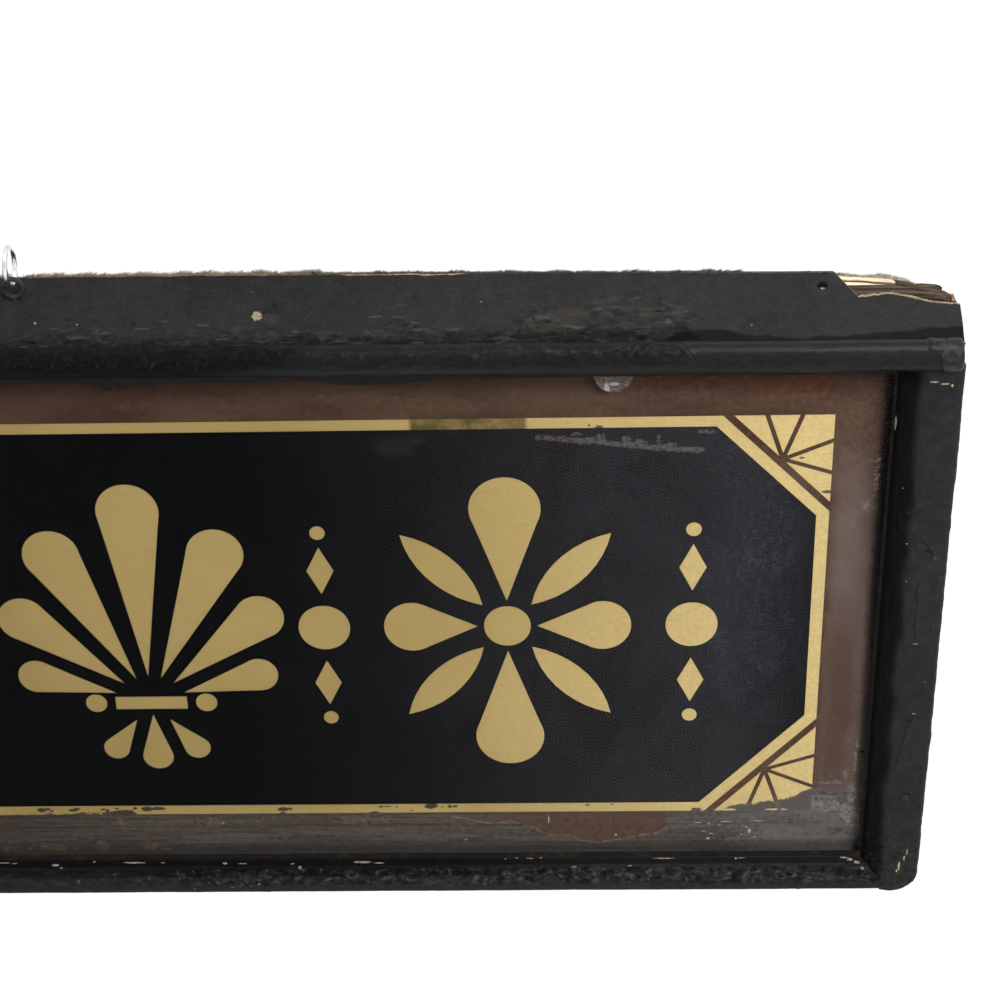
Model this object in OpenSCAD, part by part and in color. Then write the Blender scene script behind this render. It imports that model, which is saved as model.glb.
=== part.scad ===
// Glass fascia sign in a timber box frame with a sloping hood.
// X runs along the sign, the glass faces -Y, Z is up. All sizes are in millimetres.
// The origin is the centre of the flat back.

/* [Sign] */
// Length over the two end stiles
sign_length = 1830; // [1200:10:2400]
// Height of the glass that the frame leaves in view
sight_height = 349; // [320:1:420]
// Depth from the front of the glass to the flat back
box_depth = 42; // [40:1:60]

/* [Frame] */
// Width of each end stile, bevel and flat face together
stile_width = 35; // [30:1:50]
// Height of the bottom rail, bevel and flat face together
bottom_rail_height = 19; // [17:1:26]
// Width of the sloping inner edge of the stiles and bottom rail
bevel_width = 11; // [8:1:14]
// How far the stiles and bottom rail stand in front of the glass
face_reach = 13; // [10:1:18]
// Thickness of the boards that make the box behind the glass
box_board_thickness = 12; // [10:1:14]
// Thickness of the three back boards
back_board_thickness = 9.5; // [7:0.5:12]

/* [Hood] */
// Slope of the weather board above the horizontal, in degrees
hood_angle = 30; // [27:1:33]
// Thickness of the weather board
weather_board_thickness = 3.5; // [3:0.5:4]
// Diameter of the rounded nosing below the weather board
nosing_diameter = 17.4; // [16:0.2:18]

/* [Glass and gilding] */
// Thickness of the glass
glass_thickness = 6; // [5:0.5:7]
// Width of the gilt line along the top and bottom
border_width = 6.6; // [4:0.2:10]
// Bare margin between each stile and the gilt line
border_margin = 32.2; // [28:0.1:38]
// How much of each upper corner the gilt line cuts off
upper_cut = 63; // [50:1:75]
// How much of the bottom gilt line each lower corner cuts off
lower_cut = 67; // [50:1:80]
// How much of the side gilt line each lower corner cuts off
lower_cut_height = 70.5; // [50:0.5:80]
// Height of the tallest gilt ornament
ornament_height = 204; // [170:1:215]

/* [Hanging] */
// Distance between the two screw eyes
eye_spacing = 774; // [500:2:900]
// Diameter of each hanging ring, wire centre to wire centre
ring_diameter = 22; // [18:1:26]
// Wire diameter of the rings
ring_wire = 3.2; // [2.4:0.2:3.2]

/* [Hidden] */
$fn = 64;

half_length = sign_length / 2;
sight_bottom = bottom_rail_height;
sight_top = sight_bottom + sight_height;
sight_half = half_length - stile_width;

// Depths, measured along Y from the flat back, which is Y = 0.
glass_front = -box_depth;
glass_back = glass_front + glass_thickness;
face_front = glass_front - face_reach;
boards_inner = -back_board_thickness;

// The hood: a line that rises towards the back.
slope = tan(hood_angle);
drop = weather_board_thickness / cos(hood_angle);
nosing_radius = nosing_diameter / 2;
nosing_y = glass_front - 12;
nosing_z = sight_top + nosing_radius;
// The flat behind the nosing's round front is this much higher than its lowest point.
nosing_relief = 0.2;
// The weather board's top face starts on the nosing, this far in front of the glass.
board_start = glass_front - 3.6;
start_lift = sqrt(pow(nosing_radius, 2) - pow(board_start - nosing_y, 2));
joint_gap = 0.1;
board_start_z = nosing_z + start_lift + joint_gap;
function hood_top(y) = board_start_z + (y - board_start) * slope;
function hood_under(y) = hood_top(y) - drop;

// The glass edge and the parts that hold it.
tongue_z = sight_top + 7.7;
tongue_y = glass_front + 4;
glass_bottom_z = box_board_thickness + 1.5;
glass_top_z = tongue_z - 1.7;
end_board_thickness = box_board_thickness + 6;
box_inner_half = half_length - end_board_thickness;
glass_half = box_inner_half - 6;
box_top_z = tongue_z + 11.5;
bead_thickness = 8;
bead_height = 10;
side_bead_width = 16;
bead_back = glass_back + bead_thickness + 0.6;
leaf = 0.3;
back_z = hood_top(0);
sign_height = back_z;

// The gilt line.
border_side = border_width + 0.8;
border_half = sight_half - border_margin;
inner_step = 4;
// The gilding's middle is this far below the middle of the view, and its margins there are wider.
border_drop = 3.7;
extra_margin = 2.1;
border_mid = sight_bottom + sight_height / 2 - border_drop;
border_top = border_mid + sight_height / 2 - border_margin - extra_margin;
border_bottom = 2 * border_mid - border_top;

// The eyes and rings.
eye_radius = 5.4;
eye_wire = 3;
eye_y = -14;
eye_lift = 7.3;
ring_gap = 0.3;
eye_z = hood_top(eye_y) + eye_lift;
hinge_z = eye_z + eye_radius;
ring_z = hinge_z - (eye_wire + ring_wire) / 2 - ring_gap + ring_diameter / 2;
eye_shank_radius = 1.8;
eye_depth = 20;

// Fastenings.
nail_radius = 1.1;
nail_head_radius = 2.6;
nail_head = 0.8;
nail_inset = 75;
lost_nail_x = half_length - nail_inset;
nail_pitch = lost_nail_x / 2.5;
hood_nail_length = 9;
upper_nail_y = -6.9;
lower_nail_y = -32;
low_nail_rise = 55;
middle_nail_rise = 229;
top_nail_drop = 28;
stile_nail_z = [sight_bottom + low_nail_rise, sight_bottom + middle_nail_rise, sight_top - top_nail_drop];
stile_nail_length = 22;
stile_nail_inset = 12.8;
stile_nail_x = half_length - stile_nail_inset;
rail_nail_z = 4.6;
screw_radius = 1.8;
screw_head_radius = 3.8;
screw_length = 19;
pin_radius = 0.7;
pin_length = 14;
side_pin_length = side_bead_width + 6;

// Places along X for a row of equal steps, the same on both sides of the middle.
function row(count, pitch) = [for (i = [0:count - 1]) (i - (count - 1) / 2) * pitch];

hood_nail_x = row(6, nail_pitch);
rail_nail_x = row(6, nail_pitch);
pin_x = row(5, (sight_half - 60) / 2);
pin_z = [sight_bottom + 60, sight_top - 60];
ledge_pitch = half_length * 0.49;
ledge_width = 44;
ledge_thickness = 12.5;

// Puts work that is drawn upwards from the sign's bottom edge around the origin.
module raise() {
    translate([0, 0, -sign_height / 2]) children();
}

// Extrudes an outline drawn in Y and Z along X.
module along_x(from, to) {
    translate([from, 0, 0]) rotate([90, 0, 90]) linear_extrude(to - from) children();
}

// Extrudes an outline drawn in X and Z from one depth to another.
module along_y(from, to) {
    translate([0, to, 0]) rotate([90, 0, 0]) linear_extrude(to - from) children();
}

module both_sides() {
    children();
    mirror([1, 0, 0]) children();
}

module plate(x, y, z) {
    translate([x[0], y[0], z[0]]) cube([x[1] - x[0], y[1] - y[0], z[1] - z[0]]);
}

// Glass and what is on its back

module glass_pane() {
    color([0.75, 0.85, 0.8, 0.35]) raise()
        plate([-glass_half, glass_half], [glass_front, glass_back], [glass_bottom_z, glass_top_z]);
}

// A rectangle around the middle of the sign with its four corners cut off.
module cut_panel(half_width, bottom, top, low_cut, high_cut) {
    polygon([
        [-half_width + low_cut[0], bottom], [half_width - low_cut[0], bottom],
        [half_width, bottom + low_cut[1]], [half_width, top - high_cut],
        [half_width - high_cut, top], [-half_width + high_cut, top],
        [-half_width, top - high_cut], [-half_width, bottom + low_cut[1]]
    ]);
}

module inner_panel(grow = 0) {
    step = inner_step - 0.6 * grow;
    cut_panel(border_half - border_side + grow, border_bottom + border_width - grow,
        border_top - border_width + grow, [lower_cut - step, lower_cut_height - step],
        upper_cut - step);
}

module outer_panel() {
    cut_panel(border_half, border_bottom, border_top, [lower_cut, lower_cut_height], upper_cut);
}

// Stands work that is drawn flat in X and Y up against the back of the glass.
module gold_layer() {
    color([0.8, 0.7, 0.4]) raise() translate([0, glass_back + leaf, 0]) rotate([90, 0, 0]) children();
}

module gilt() {
    linear_extrude(leaf) children();
}

module gold_border() {
    gold_layer() gilt() difference() {
        outer_panel();
        inner_panel();
    }
}

// One corner's fan in its own corner: the corner point is the origin, the legs run along -X and -Y.
fan_setback = 6.4;
fan_gap = 2.7;
module fan(cut_x, cut_y) {
    leg_x = cut_x - fan_setback;
    leg_y = cut_y - fan_setback;
    rays = [[-leg_x * 0.67, 0], [-leg_x * 0.32, 0], [0, -leg_y * 0.29], [0, -leg_y * 0.66]];
    difference() {
        polygon([[0, 0], [-leg_x, 0], [0, -leg_y]]);
        for (ray = rays) {
            reach = ray + [leg_x, leg_y] / 2;
            translate([-leg_x / 2, -leg_y / 2]) rotate(atan2(reach[1], reach[0]))
                translate([-fan_gap, -fan_gap / 2]) square([norm(reach) + 4 * fan_gap, fan_gap]);
        }
    }
}

module gold_corner_fans() {
    gold_layer() gilt() both_sides() {
        translate([border_half, border_top]) fan(upper_cut, upper_cut);
        translate([border_half, border_bottom]) mirror([0, 1]) fan(lower_cut, lower_cut_height);
    }
}

// The ornaments are drawn in steps, of which the tallest one has this many from top to bottom.
ornament_steps = 204;
unit = ornament_height / ornament_steps;

module shift(x, y) {
    translate([x * unit, y * unit, 0]) children();
}

// A leaf: the shape that two equal circles share, from the origin up along Y.
module leaf_shape(length, width) {
    radius = (pow(length, 2) + pow(width, 2)) / (4 * width);
    shift(0, length / 2) intersection() {
        shift(radius - width / 2, 0) cylinder(r = radius * unit, h = leaf, $fn = 180);
        shift(width / 2 - radius, 0) cylinder(r = radius * unit, h = leaf, $fn = 180);
    }
}

module ball(radius) {
    cylinder(r = radius * unit, h = leaf);
}

// A drop: a point at the origin whose straight sides run into a round end.
module drop_shape(length, radius) {
    centre = length - radius;
    inset = 0.99;
    side = inset * radius * sqrt(1 - pow(radius / centre, 2));
    touch = centre - inset * pow(radius, 2) / centre;
    union() {
        shift(0, centre) ball(radius);
        gilt() polygon([[0, 0], [-side, touch], [side, touch]] * unit);
    }
}

// Seven round-ended leaves that spread like a shell from a bar, with three short ones below it.
module palmette() {
    shift(0, -52) {
        for (side = [-1, 1]) {
            rotate(side * 25) shift(0, 18) drop_shape(114, 17);
            rotate(side * 50) shift(0, 20) drop_shape(88, 15);
            rotate(side * 75) shift(0, 22) drop_shape(60, 11.5);
            rotate(side * 145) shift(0, 18) drop_shape(34, 8);
            shift(side * 34, -2) ball(6.5);
        }
        shift(0, 18) drop_shape(134, 18.5);
        rotate(180) shift(0, 11) drop_shape(41, 9.5);
        shift(-22, -6.5) cube([44 * unit, 9 * unit, leaf]);
    }
}

// Eight petals around a ball: four round-ended, the longest up and down, and four narrow leaves.
module rosette() {
    ball(14);
    for (turn = [0, 180]) {
        rotate(turn) shift(0, 18) drop_shape(84, 21);
        rotate(turn + 90) shift(0, 18) drop_shape(56, 17);
    }
    for (side = [-1, 1], turn = [0, 180])
        rotate(turn + side * 44) shift(0, 21) leaf_shape(68, 20);
}

// A ball between two lozenges.
module spacer() {
    ball(15.5);
    for (side = [-1, 1]) {
        shift(0, side * 40) gilt() polygon([[-8, 0], [0, -16], [8, 0], [0, 16]] * unit);
        shift(0, side * 66) ball(4.5);
    }
}

motif_pitch = 110 * unit;
end_room = 75;
room = floor((border_half - end_room) / motif_pitch);
last_slot = 2 * floor((room - 1) / 2) + 1;
function is_spacer(slot) = abs(slot) % 2 == 1;
function is_rosette(slot) = abs(slot) % 4 == 2;
function is_palmette(slot) = abs(slot) % 4 == 0;

module at_slot(slot) {
    translate([slot * motif_pitch, border_mid, 0]) children();
}

module gold_palmettes() {
    gold_layer() for (slot = [-last_slot:last_slot]) if (is_palmette(slot)) at_slot(slot) palmette();
}

module gold_rosettes() {
    gold_layer() for (slot = [-last_slot:last_slot]) if (is_rosette(slot)) at_slot(slot) rosette();
}

module gold_spacers() {
    gold_layer() for (slot = [-last_slot:last_slot]) if (is_spacer(slot)) at_slot(slot) spacer();
}

// The painted backing meets the margin under the middle of the gilt line.
module painted_layer() {
    raise() along_y(glass_back + leaf, glass_back + 2 * leaf) children();
}

module black_ground() {
    color([0.06, 0.06, 0.07]) painted_layer() inner_panel(border_width / 2);
}

module brown_margin() {
    color([0.3, 0.2, 0.16]) painted_layer() difference() {
        translate([-glass_half, glass_bottom_z])
            square([2 * glass_half, glass_top_z - glass_bottom_z]);
        inner_panel(border_width / 2);
    }
}

// Front frame

// Section of a stile or rail: the width runs along +X from its outer edge, the front is at -Y.
module frame_section(width) {
    arris = 3;
    difference() {
        union() {
            translate([0, face_front]) square([width - bevel_width, face_reach]);
            polygon([
                [width - bevel_width - 0.01, face_front], [width - bevel_width, face_front],
                [width, glass_front - 2], [width, glass_front], [width - bevel_width - 0.01, glass_front]
            ]);
        }
        translate([-0.01, face_front - 0.01]) difference() {
            square(arris);
            translate([arris, arris]) circle(arris);
        }
    }
}

// The frame's corner joint, seen from the front: the bevels are mitred, the flat faces meet square.
module rail_outline() {
    polygon([
        [-sight_half - bevel_width, 0], [sight_half + bevel_width, 0],
        [sight_half + bevel_width, sight_bottom - bevel_width], [sight_half, sight_bottom],
        [-sight_half, sight_bottom], [-sight_half - bevel_width, sight_bottom - bevel_width]
    ]);
}

module stile_outline() {
    polygon([
        [sight_half + bevel_width, 0], [half_length, 0], [half_length, sight_top],
        [sight_half, sight_top], [sight_half, sight_bottom],
        [sight_half + bevel_width, sight_bottom - bevel_width]
    ]);
}

module nail_hole(length) {
    translate([0, -1, 0]) rotate([-90, 0, 0]) cylinder(r = nail_radius, h = length + 1);
}

module at_stile_nails() {
    for (z = stile_nail_z) translate([stile_nail_x, face_front, z]) children();
}

module at_rail_nails() {
    for (x = rail_nail_x) translate([x, face_front, rail_nail_z]) children();
}

module stile() {
    color([0.1, 0.1, 0.11]) raise() difference() {
        intersection() {
            translate([half_length, 0, 0]) mirror([1, 0, 0]) linear_extrude(sight_top)
                frame_section(stile_width);
            along_y(face_front - 1, glass_front + 1) stile_outline();
        }
        at_stile_nails() nail_hole(stile_nail_length);
    }
}

module stile_right() {
    stile();
}

module stile_left() {
    mirror([1, 0, 0]) stile();
}

module bottom_rail() {
    color([0.1, 0.1, 0.11]) raise() difference() {
        intersection() {
            along_x(-half_length, half_length) mirror([1, 0]) rotate(90)
                frame_section(bottom_rail_height);
            along_y(face_front - 1, glass_front + 1) rail_outline();
        }
        at_rail_nails() nail_hole(stile_nail_length);
    }
}

// Hood

module hood_nosing() {
    under_start = board_start + weather_board_thickness * sin(hood_angle);
    under_start_z = hood_top(board_start) - weather_board_thickness * cos(hood_angle) - joint_gap;
    color([0.1, 0.1, 0.11]) raise() union() {
        along_x(-half_length, half_length) polygon([
            [glass_front, sight_top + nosing_relief], [nosing_y, sight_top + nosing_relief],
            [nosing_y, nosing_z], [under_start, under_start_z],
            [tongue_y, hood_under(tongue_y) - joint_gap], [tongue_y, tongue_z], [glass_front, tongue_z]
        ]);
        along_x(-half_length, half_length) translate([nosing_y, nosing_z]) circle(nosing_radius);
    }
}

// Plan of the corner that has broken off, as distances from the right end and from the back.
break_plan = [[68, 0], [55.3, 16.4], [49.6, 15.8], [38, 14.1], [24.2, 17.4], [16, 19.9], [0, 21.4]];
module broken_corner() {
    translate([half_length, 0, 0]) linear_extrude(2 * sight_top)
        polygon(concat(
            [for (point = break_plan) [-point[0], -point[1]]],
            [[1, -break_plan[6][1]], [1, 1], [-break_plan[0][0], 1]]
        ));
}

// Places children on the weather board's top face, turned square to it.
module on_hood(x, y) {
    translate([x, y, hood_top(y)]) rotate([hood_angle, 0, 0]) children();
}

module hood_nail_holes() {
    for (x = hood_nail_x, y = [upper_nail_y, lower_nail_y])
        on_hood(x, y) translate([0, 0, -hood_nail_length]) cylinder(r = nail_radius, h = hood_nail_length + 2);
}

module eye_holes() {
    for (x = row(2, eye_spacing)) translate([x, eye_y, eye_z - eye_radius - eye_depth])
        cylinder(r = eye_shank_radius, h = eye_depth);
}

module hood_weather_board() {
    hole_radius = 2.6;
    color([0.12, 0.12, 0.13]) raise() difference() {
        along_x(-half_length, half_length) polygon([
            [board_start, hood_top(board_start)], [0, hood_top(0)], [0, hood_under(0)],
            [board_start + weather_board_thickness * sin(hood_angle),
                hood_top(board_start) - weather_board_thickness * cos(hood_angle)]
        ]);
        broken_corner();
        hood_nail_holes();
        eye_holes();
        on_hood(lost_nail_x, upper_nail_y) translate([0, 0, -6]) cylinder(r = hole_radius, h = 8);
    }
}

// A lath whose top follows the underside of the weather board.
module hood_lath(front, back, short) {
    color([0.3, 0.27, 0.24]) raise() difference() {
        along_x(-half_length + short, half_length - short) polygon([
            [front, box_top_z], [back, box_top_z], [back, hood_under(back)], [front, hood_under(front)]
        ]);
        hood_nail_holes();
        eye_holes();
    }
}

back_lath_depth = 8;
front_lath_depth = 11.6;
lath_gap = 0.4;
module hood_lath_back() {
    hood_lath(-back_lath_depth, 0, 7);
}

module hood_lath_front() {
    back = -back_lath_depth - lath_gap;
    hood_lath(back - front_lath_depth, back, 3);
}

// Box behind the glass

// Section of the box's top: its front is planed to the slope of the hood.
module planed_top(bottom) {
    polygon(concat(
        bottom,
        [[tongue_y, hood_under(tongue_y)], [planed_back, box_top_z], [boards_inner, box_top_z]]
    ));
}
planed_back = board_start + (box_top_z + drop - board_start_z) / slope;

module box_top() {
    color([0.5, 0.42, 0.33]) raise() difference() {
        along_x(-box_inner_half, box_inner_half)
            planed_top([[boards_inner, tongue_z], [tongue_y, tongue_z]]);
        hood_nail_holes();
        eye_holes();
        screw_holes();
        pin_holes();
    }
}

module box_bottom() {
    color([0.5, 0.42, 0.33]) raise() difference() {
        plate([-box_inner_half, box_inner_half], [glass_front, boards_inner], [0, box_board_thickness]);
        at_rail_nails() nail_hole(stile_nail_length);
        screw_holes();
        pin_holes();
    }
}

module box_end() {
    color([0.5, 0.42, 0.33]) raise() difference() {
        along_x(box_inner_half, half_length) planed_top([
            [boards_inner, 0], [glass_front, 0], [glass_front, tongue_z], [tongue_y, tongue_z]
        ]);
        at_stile_nails() nail_hole(stile_nail_length);
        screw_holes();
        pin_holes();
    }
}

module box_end_right() {
    box_end();
}

module box_end_left() {
    mirror([1, 0, 0]) box_end();
}

module bead_bottom() {
    color([0.45, 0.38, 0.3]) raise() difference() {
        plate([-box_inner_half, box_inner_half], [bead_back - bead_thickness, bead_back],
            [box_board_thickness, box_board_thickness + bead_height]);
        pin_holes();
    }
}

module bead_top() {
    color([0.45, 0.38, 0.3]) raise() difference() {
        plate([-box_inner_half, box_inner_half], [bead_back - bead_thickness, bead_back],
            [tongue_z - bead_height, tongue_z]);
        pin_holes();
    }
}

module side_bead() {
    color([0.45, 0.38, 0.3]) raise() difference() {
        plate([box_inner_half - side_bead_width, box_inner_half], [bead_back - bead_thickness, bead_back],
            [box_board_thickness + bead_height, tongue_z - bead_height]);
        pin_holes();
    }
}

module bead_right() {
    side_bead();
}

module bead_left() {
    mirror([1, 0, 0]) side_bead();
}

module setting_blocks() {
    color([0.35, 0.28, 0.2]) raise() for (x = row(2, 2 * ledge_pitch))
        plate([x - 30, x + 30], [glass_front, glass_back], [box_board_thickness, glass_bottom_z]);
}

module corner_blocks() {
    leg = 30;
    color([0.6, 0.5, 0.36]) raise() both_sides()
        along_y(bead_back + 1, boards_inner) {
            translate([box_inner_half, box_board_thickness]) polygon([[0, 0], [-leg, 0], [0, leg]]);
            translate([box_inner_half, tongue_z]) polygon([[0, 0], [0, -leg], [-leg, 0]]);
        }
}

module ledge(x) {
    color([0.5, 0.42, 0.33]) raise() difference() {
        plate([x - ledge_width / 2, x + ledge_width / 2], [boards_inner - ledge_thickness, boards_inner],
            [box_board_thickness, tongue_z]);
        screw_holes();
    }
}

module ledge_left() {
    ledge(-ledge_pitch);
}

module ledge_middle() {
    ledge(0);
}

module ledge_right() {
    ledge(ledge_pitch);
}

board_gap = 0.5;
board_pitch = (box_top_z + board_gap) / 3;
module back_board(index) {
    color([0.55, 0.45, 0.34]) raise() difference() {
        plate([-half_length, half_length], [boards_inner, 0],
            [index * board_pitch, (index + 1) * board_pitch - board_gap]);
        screw_holes();
    }
}

module back_board_bottom() {
    back_board(0);
}

module back_board_middle() {
    back_board(1);
}

module back_board_top() {
    back_board(2);
}

// Fastenings

module nail(length) {
    rotate([-90, 0, 0]) {
        cylinder(r = nail_radius, h = length);
        translate([0, 0, -nail_head]) cylinder(r = nail_head_radius, h = nail_head);
    }
}

module stile_nails() {
    color([0.25, 0.22, 0.2]) raise() both_sides() at_stile_nails() nail(stile_nail_length);
}

module rail_nails() {
    color([0.25, 0.22, 0.2]) raise() at_rail_nails() nail(stile_nail_length);
}

module hood_nails() {
    color([0.25, 0.22, 0.2]) raise()
        for (x = hood_nail_x, y = [upper_nail_y, lower_nail_y])
            if (x < lost_nail_x - 1 || y == lower_nail_y)
                on_hood(x, y) rotate([-90, 0, 0]) nail(hood_nail_length);
}

// Pins through the beads into the box boards.
module pin_blanks() {
    pin_y = bead_back - bead_thickness / 2;
    for (x = pin_x) {
        translate([x, pin_y, box_board_thickness + bead_height - pin_length])
            cylinder(r = pin_radius, h = pin_length);
        translate([x, pin_y, tongue_z - bead_height]) cylinder(r = pin_radius, h = pin_length);
    }
    for (z = pin_z) both_sides()
        translate([box_inner_half - side_bead_width, pin_y, z]) rotate([0, 90, 0])
            cylinder(r = pin_radius, h = side_pin_length);
}

module pin_holes() {
    pin_blanks();
}

module bead_pins() {
    color([0.4, 0.4, 0.42]) raise() pin_blanks();
}

screw_inset = 6;
screw_x = [-half_length + screw_inset, -ledge_pitch, 0, ledge_pitch, half_length - screw_inset];
screw_z = [box_board_thickness / 2, board_pitch - 18, board_pitch + 18, 2 * board_pitch - 18,
    2 * board_pitch + 18, box_top_z - 6];
module at_screws() {
    for (x = screw_x, z = screw_z) translate([x, 0, z]) rotate([90, 0, 0]) children();
}

module screw_blank() {
    cylinder(r = screw_radius, h = screw_length);
    cylinder(r1 = screw_head_radius, r2 = screw_radius, h = screw_head_radius - screw_radius);
}

module screw_holes() {
    at_screws() screw_blank();
}

module back_screws() {
    color([0.5, 0.47, 0.4]) raise() at_screws() difference() {
        screw_blank();
        translate([-screw_head_radius - 1, -0.5, -1]) cube([2 * screw_head_radius + 2, 1, 1.8]);
    }
}

// Hanging eyes and rings

module torus(radius, wire) {
    rotate_extrude($fn = 96) translate([radius, 0]) circle(d = wire, $fn = 32);
}

module hanging_eye(x) {
    color([0.12, 0.12, 0.13]) raise() translate([x, eye_y, eye_z]) {
        rotate([90, 0, 0]) torus(eye_radius, eye_wire);
        translate([0, 0, -eye_radius - eye_depth]) cylinder(r = eye_shank_radius, h = eye_depth);
    }
}

module hanging_eye_left() {
    hanging_eye(-eye_spacing / 2);
}

module hanging_eye_right() {
    hanging_eye(eye_spacing / 2);
}

module hanging_ring(x) {
    color([0.8, 0.8, 0.82]) raise() translate([x, eye_y, ring_z]) rotate([0, 90, 0])
        torus(ring_diameter / 2, ring_wire);
}

module hanging_ring_left() {
    hanging_ring(-eye_spacing / 2);
}

module hanging_ring_right() {
    hanging_ring(eye_spacing / 2);
}

glass_pane();
gold_border();
gold_corner_fans();
gold_palmettes();
gold_rosettes();
gold_spacers();
black_ground();
brown_margin();
stile_left();
stile_right();
bottom_rail();
hood_nosing();
hood_weather_board();
hood_lath_back();
hood_lath_front();
box_top();
box_bottom();
box_end_left();
box_end_right();
bead_top();
bead_bottom();
bead_left();
bead_right();
setting_blocks();
corner_blocks();
ledge_left();
ledge_middle();
ledge_right();
back_board_top();
back_board_middle();
back_board_bottom();
stile_nails();
rail_nails();
hood_nails();
bead_pins();
back_screws();
hanging_eye_left();
hanging_eye_right();
hanging_ring_left();
hanging_ring_right();
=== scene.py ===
"""Glass fascia sign in a timber box frame: the looks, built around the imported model.

Lengths are in millimetres in the sign's own coordinates: X along the sign, the glass
faces -Y, Z is the height above the bottom edge. They become metres as a mesh is made.
Only the floor and the lamps are given in metres.
"""
import math

import bmesh
import bpy
import numpy as np
from mathutils import Matrix, Vector


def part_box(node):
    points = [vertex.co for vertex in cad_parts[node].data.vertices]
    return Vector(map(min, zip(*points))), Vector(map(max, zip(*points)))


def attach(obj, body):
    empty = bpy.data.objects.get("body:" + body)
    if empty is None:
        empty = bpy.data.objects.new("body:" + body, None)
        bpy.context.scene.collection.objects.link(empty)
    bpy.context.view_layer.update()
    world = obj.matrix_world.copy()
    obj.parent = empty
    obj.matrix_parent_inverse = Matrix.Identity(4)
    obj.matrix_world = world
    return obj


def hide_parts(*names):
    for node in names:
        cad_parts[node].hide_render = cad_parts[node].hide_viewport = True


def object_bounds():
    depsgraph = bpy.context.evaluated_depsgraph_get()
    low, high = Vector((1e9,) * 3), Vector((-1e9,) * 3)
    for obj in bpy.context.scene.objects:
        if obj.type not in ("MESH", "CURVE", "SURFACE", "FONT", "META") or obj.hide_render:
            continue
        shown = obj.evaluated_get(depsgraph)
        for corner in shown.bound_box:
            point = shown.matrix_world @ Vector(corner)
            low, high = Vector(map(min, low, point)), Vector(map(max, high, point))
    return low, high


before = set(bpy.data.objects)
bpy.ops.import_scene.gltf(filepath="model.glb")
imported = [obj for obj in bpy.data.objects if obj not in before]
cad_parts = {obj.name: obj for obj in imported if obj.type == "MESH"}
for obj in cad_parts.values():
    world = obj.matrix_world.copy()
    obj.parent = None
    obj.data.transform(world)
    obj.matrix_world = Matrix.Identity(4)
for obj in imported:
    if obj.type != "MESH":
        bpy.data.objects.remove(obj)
cad_box = [list(corner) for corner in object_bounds()]

MM = 0.001
GROUND = cad_box[0][2]


def box_of(node):
    """A node's lowest and highest corners in the sign's millimetres."""
    return [np.array([c.x, c.y, c.z - GROUND]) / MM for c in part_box(node)]


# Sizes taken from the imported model
stile_low, stile_high = box_of("stile_right")
glass_low, glass_high = box_of("glass_pane")
lath_low, lath_high = box_of("hood_lath_front")
back_lath_low, back_lath_high = box_of("hood_lath_back")
ring_low, ring_high = box_of("hanging_ring_right")
nosing_low = box_of("hood_nosing")[0]
nails_high = box_of("hood_nails")[1]

HALF = stile_high[0]
SIGHT_HALF = stile_low[0]
SIGHT_BOTTOM = box_of("bottom_rail")[1][2]
SIGHT_TOP = stile_high[2]
FACE = stile_low[1]
GLASS = glass_low[1]
CREST = box_of("hood_weather_board")[1][2]
RING_X = (ring_low[0] + ring_high[0]) / 2
RING_HALF = (ring_high[0] - ring_low[0]) / 2

# Sizes that those boxes don't give
BEVEL = 11
NOSING_R = 8.7
NOSING_Y = nosing_low[1] + NOSING_R
NOSING_Z = nosing_low[2] + NOSING_R
BOARD_FRONT = -45.6
BOARD_ANGLE = math.radians(30)
BOARD_SLOPE = math.tan(BOARD_ANGLE)
BOARD_THICK = 3.5
BOARD_LENGTH = -BOARD_FRONT / math.cos(BOARD_ANGLE)
NAIL_HEAD = 2.6
NAIL_X = (-840, -504, -168, 168, 504, 840)
NAIL_Y = (-6.9, -32)
LOST_NAIL = (NAIL_X[-1], NAIL_Y[0])

# The lost nail's open hole: X, and how far up the board it is
HOLE_X = nails_high[0] - NAIL_HEAD
HOLE_UP = BOARD_LENGTH - 8.0 - 2.2
# Left of this the hood is past the picture's edge, and its mesh is coarser
SEEN_X = 370
# Right of this the hood has broken off its laths
BROKEN_X = 846


# Noise on flat grids

def bumps(u, v, seed):
    """Smooth noise from about -1 to 1, with bumps one unit across."""
    angles = np.random.default_rng(seed).uniform(0, 2 * np.pi, (256, 256))
    left, low = np.floor(u).astype(int), np.floor(v).astype(int)
    fu, fv = u - left, v - low
    su, sv = fu * fu * (3 - 2 * fu), fv * fv * (3 - 2 * fv)

    def corner(du, dv):
        angle = angles[(left + du) % 256, (low + dv) % 256]
        return np.cos(angle) * (fu - du) + np.sin(angle) * (fv - dv)

    near = corner(0, 0) * (1 - su) + corner(1, 0) * su
    far = corner(0, 1) * (1 - su) + corner(1, 1) * su
    return 1.4 * (near * (1 - sv) + far * sv)


def layers(u, v, seed, count=4):
    """Several sizes of bumps on top of each other."""
    return sum(bumps(u * 2**k, v * 2**k, seed + k) / 2**k for k in range(count))


def step(value, low, high):
    """0 below low, 1 above high, smooth between."""
    t = np.clip((value - low) / (high - low), 0, 1)
    return t * t * (3 - 2 * t)


def zone(value, low, high, soft):
    """1 between low and high, fading to 0 over soft on either side."""
    return step(value, low - soft, low) * (1 - step(value, high, high + soft))


def line_distance(u, v, points):
    """Distance from a chain of straight lines."""
    nearest = np.full(u.shape, 1e9)
    for (u0, v0), (u1, v1) in zip(points, points[1:]):
        du, dv = u1 - u0, v1 - v0
        along = np.clip(((u - u0) * du + (v - v0) * dv) / (du * du + dv * dv), 0, 1)
        nearest = np.minimum(nearest, np.hypot(u - u0 - along * du, v - v0 - along * dv))
    return nearest


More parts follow.
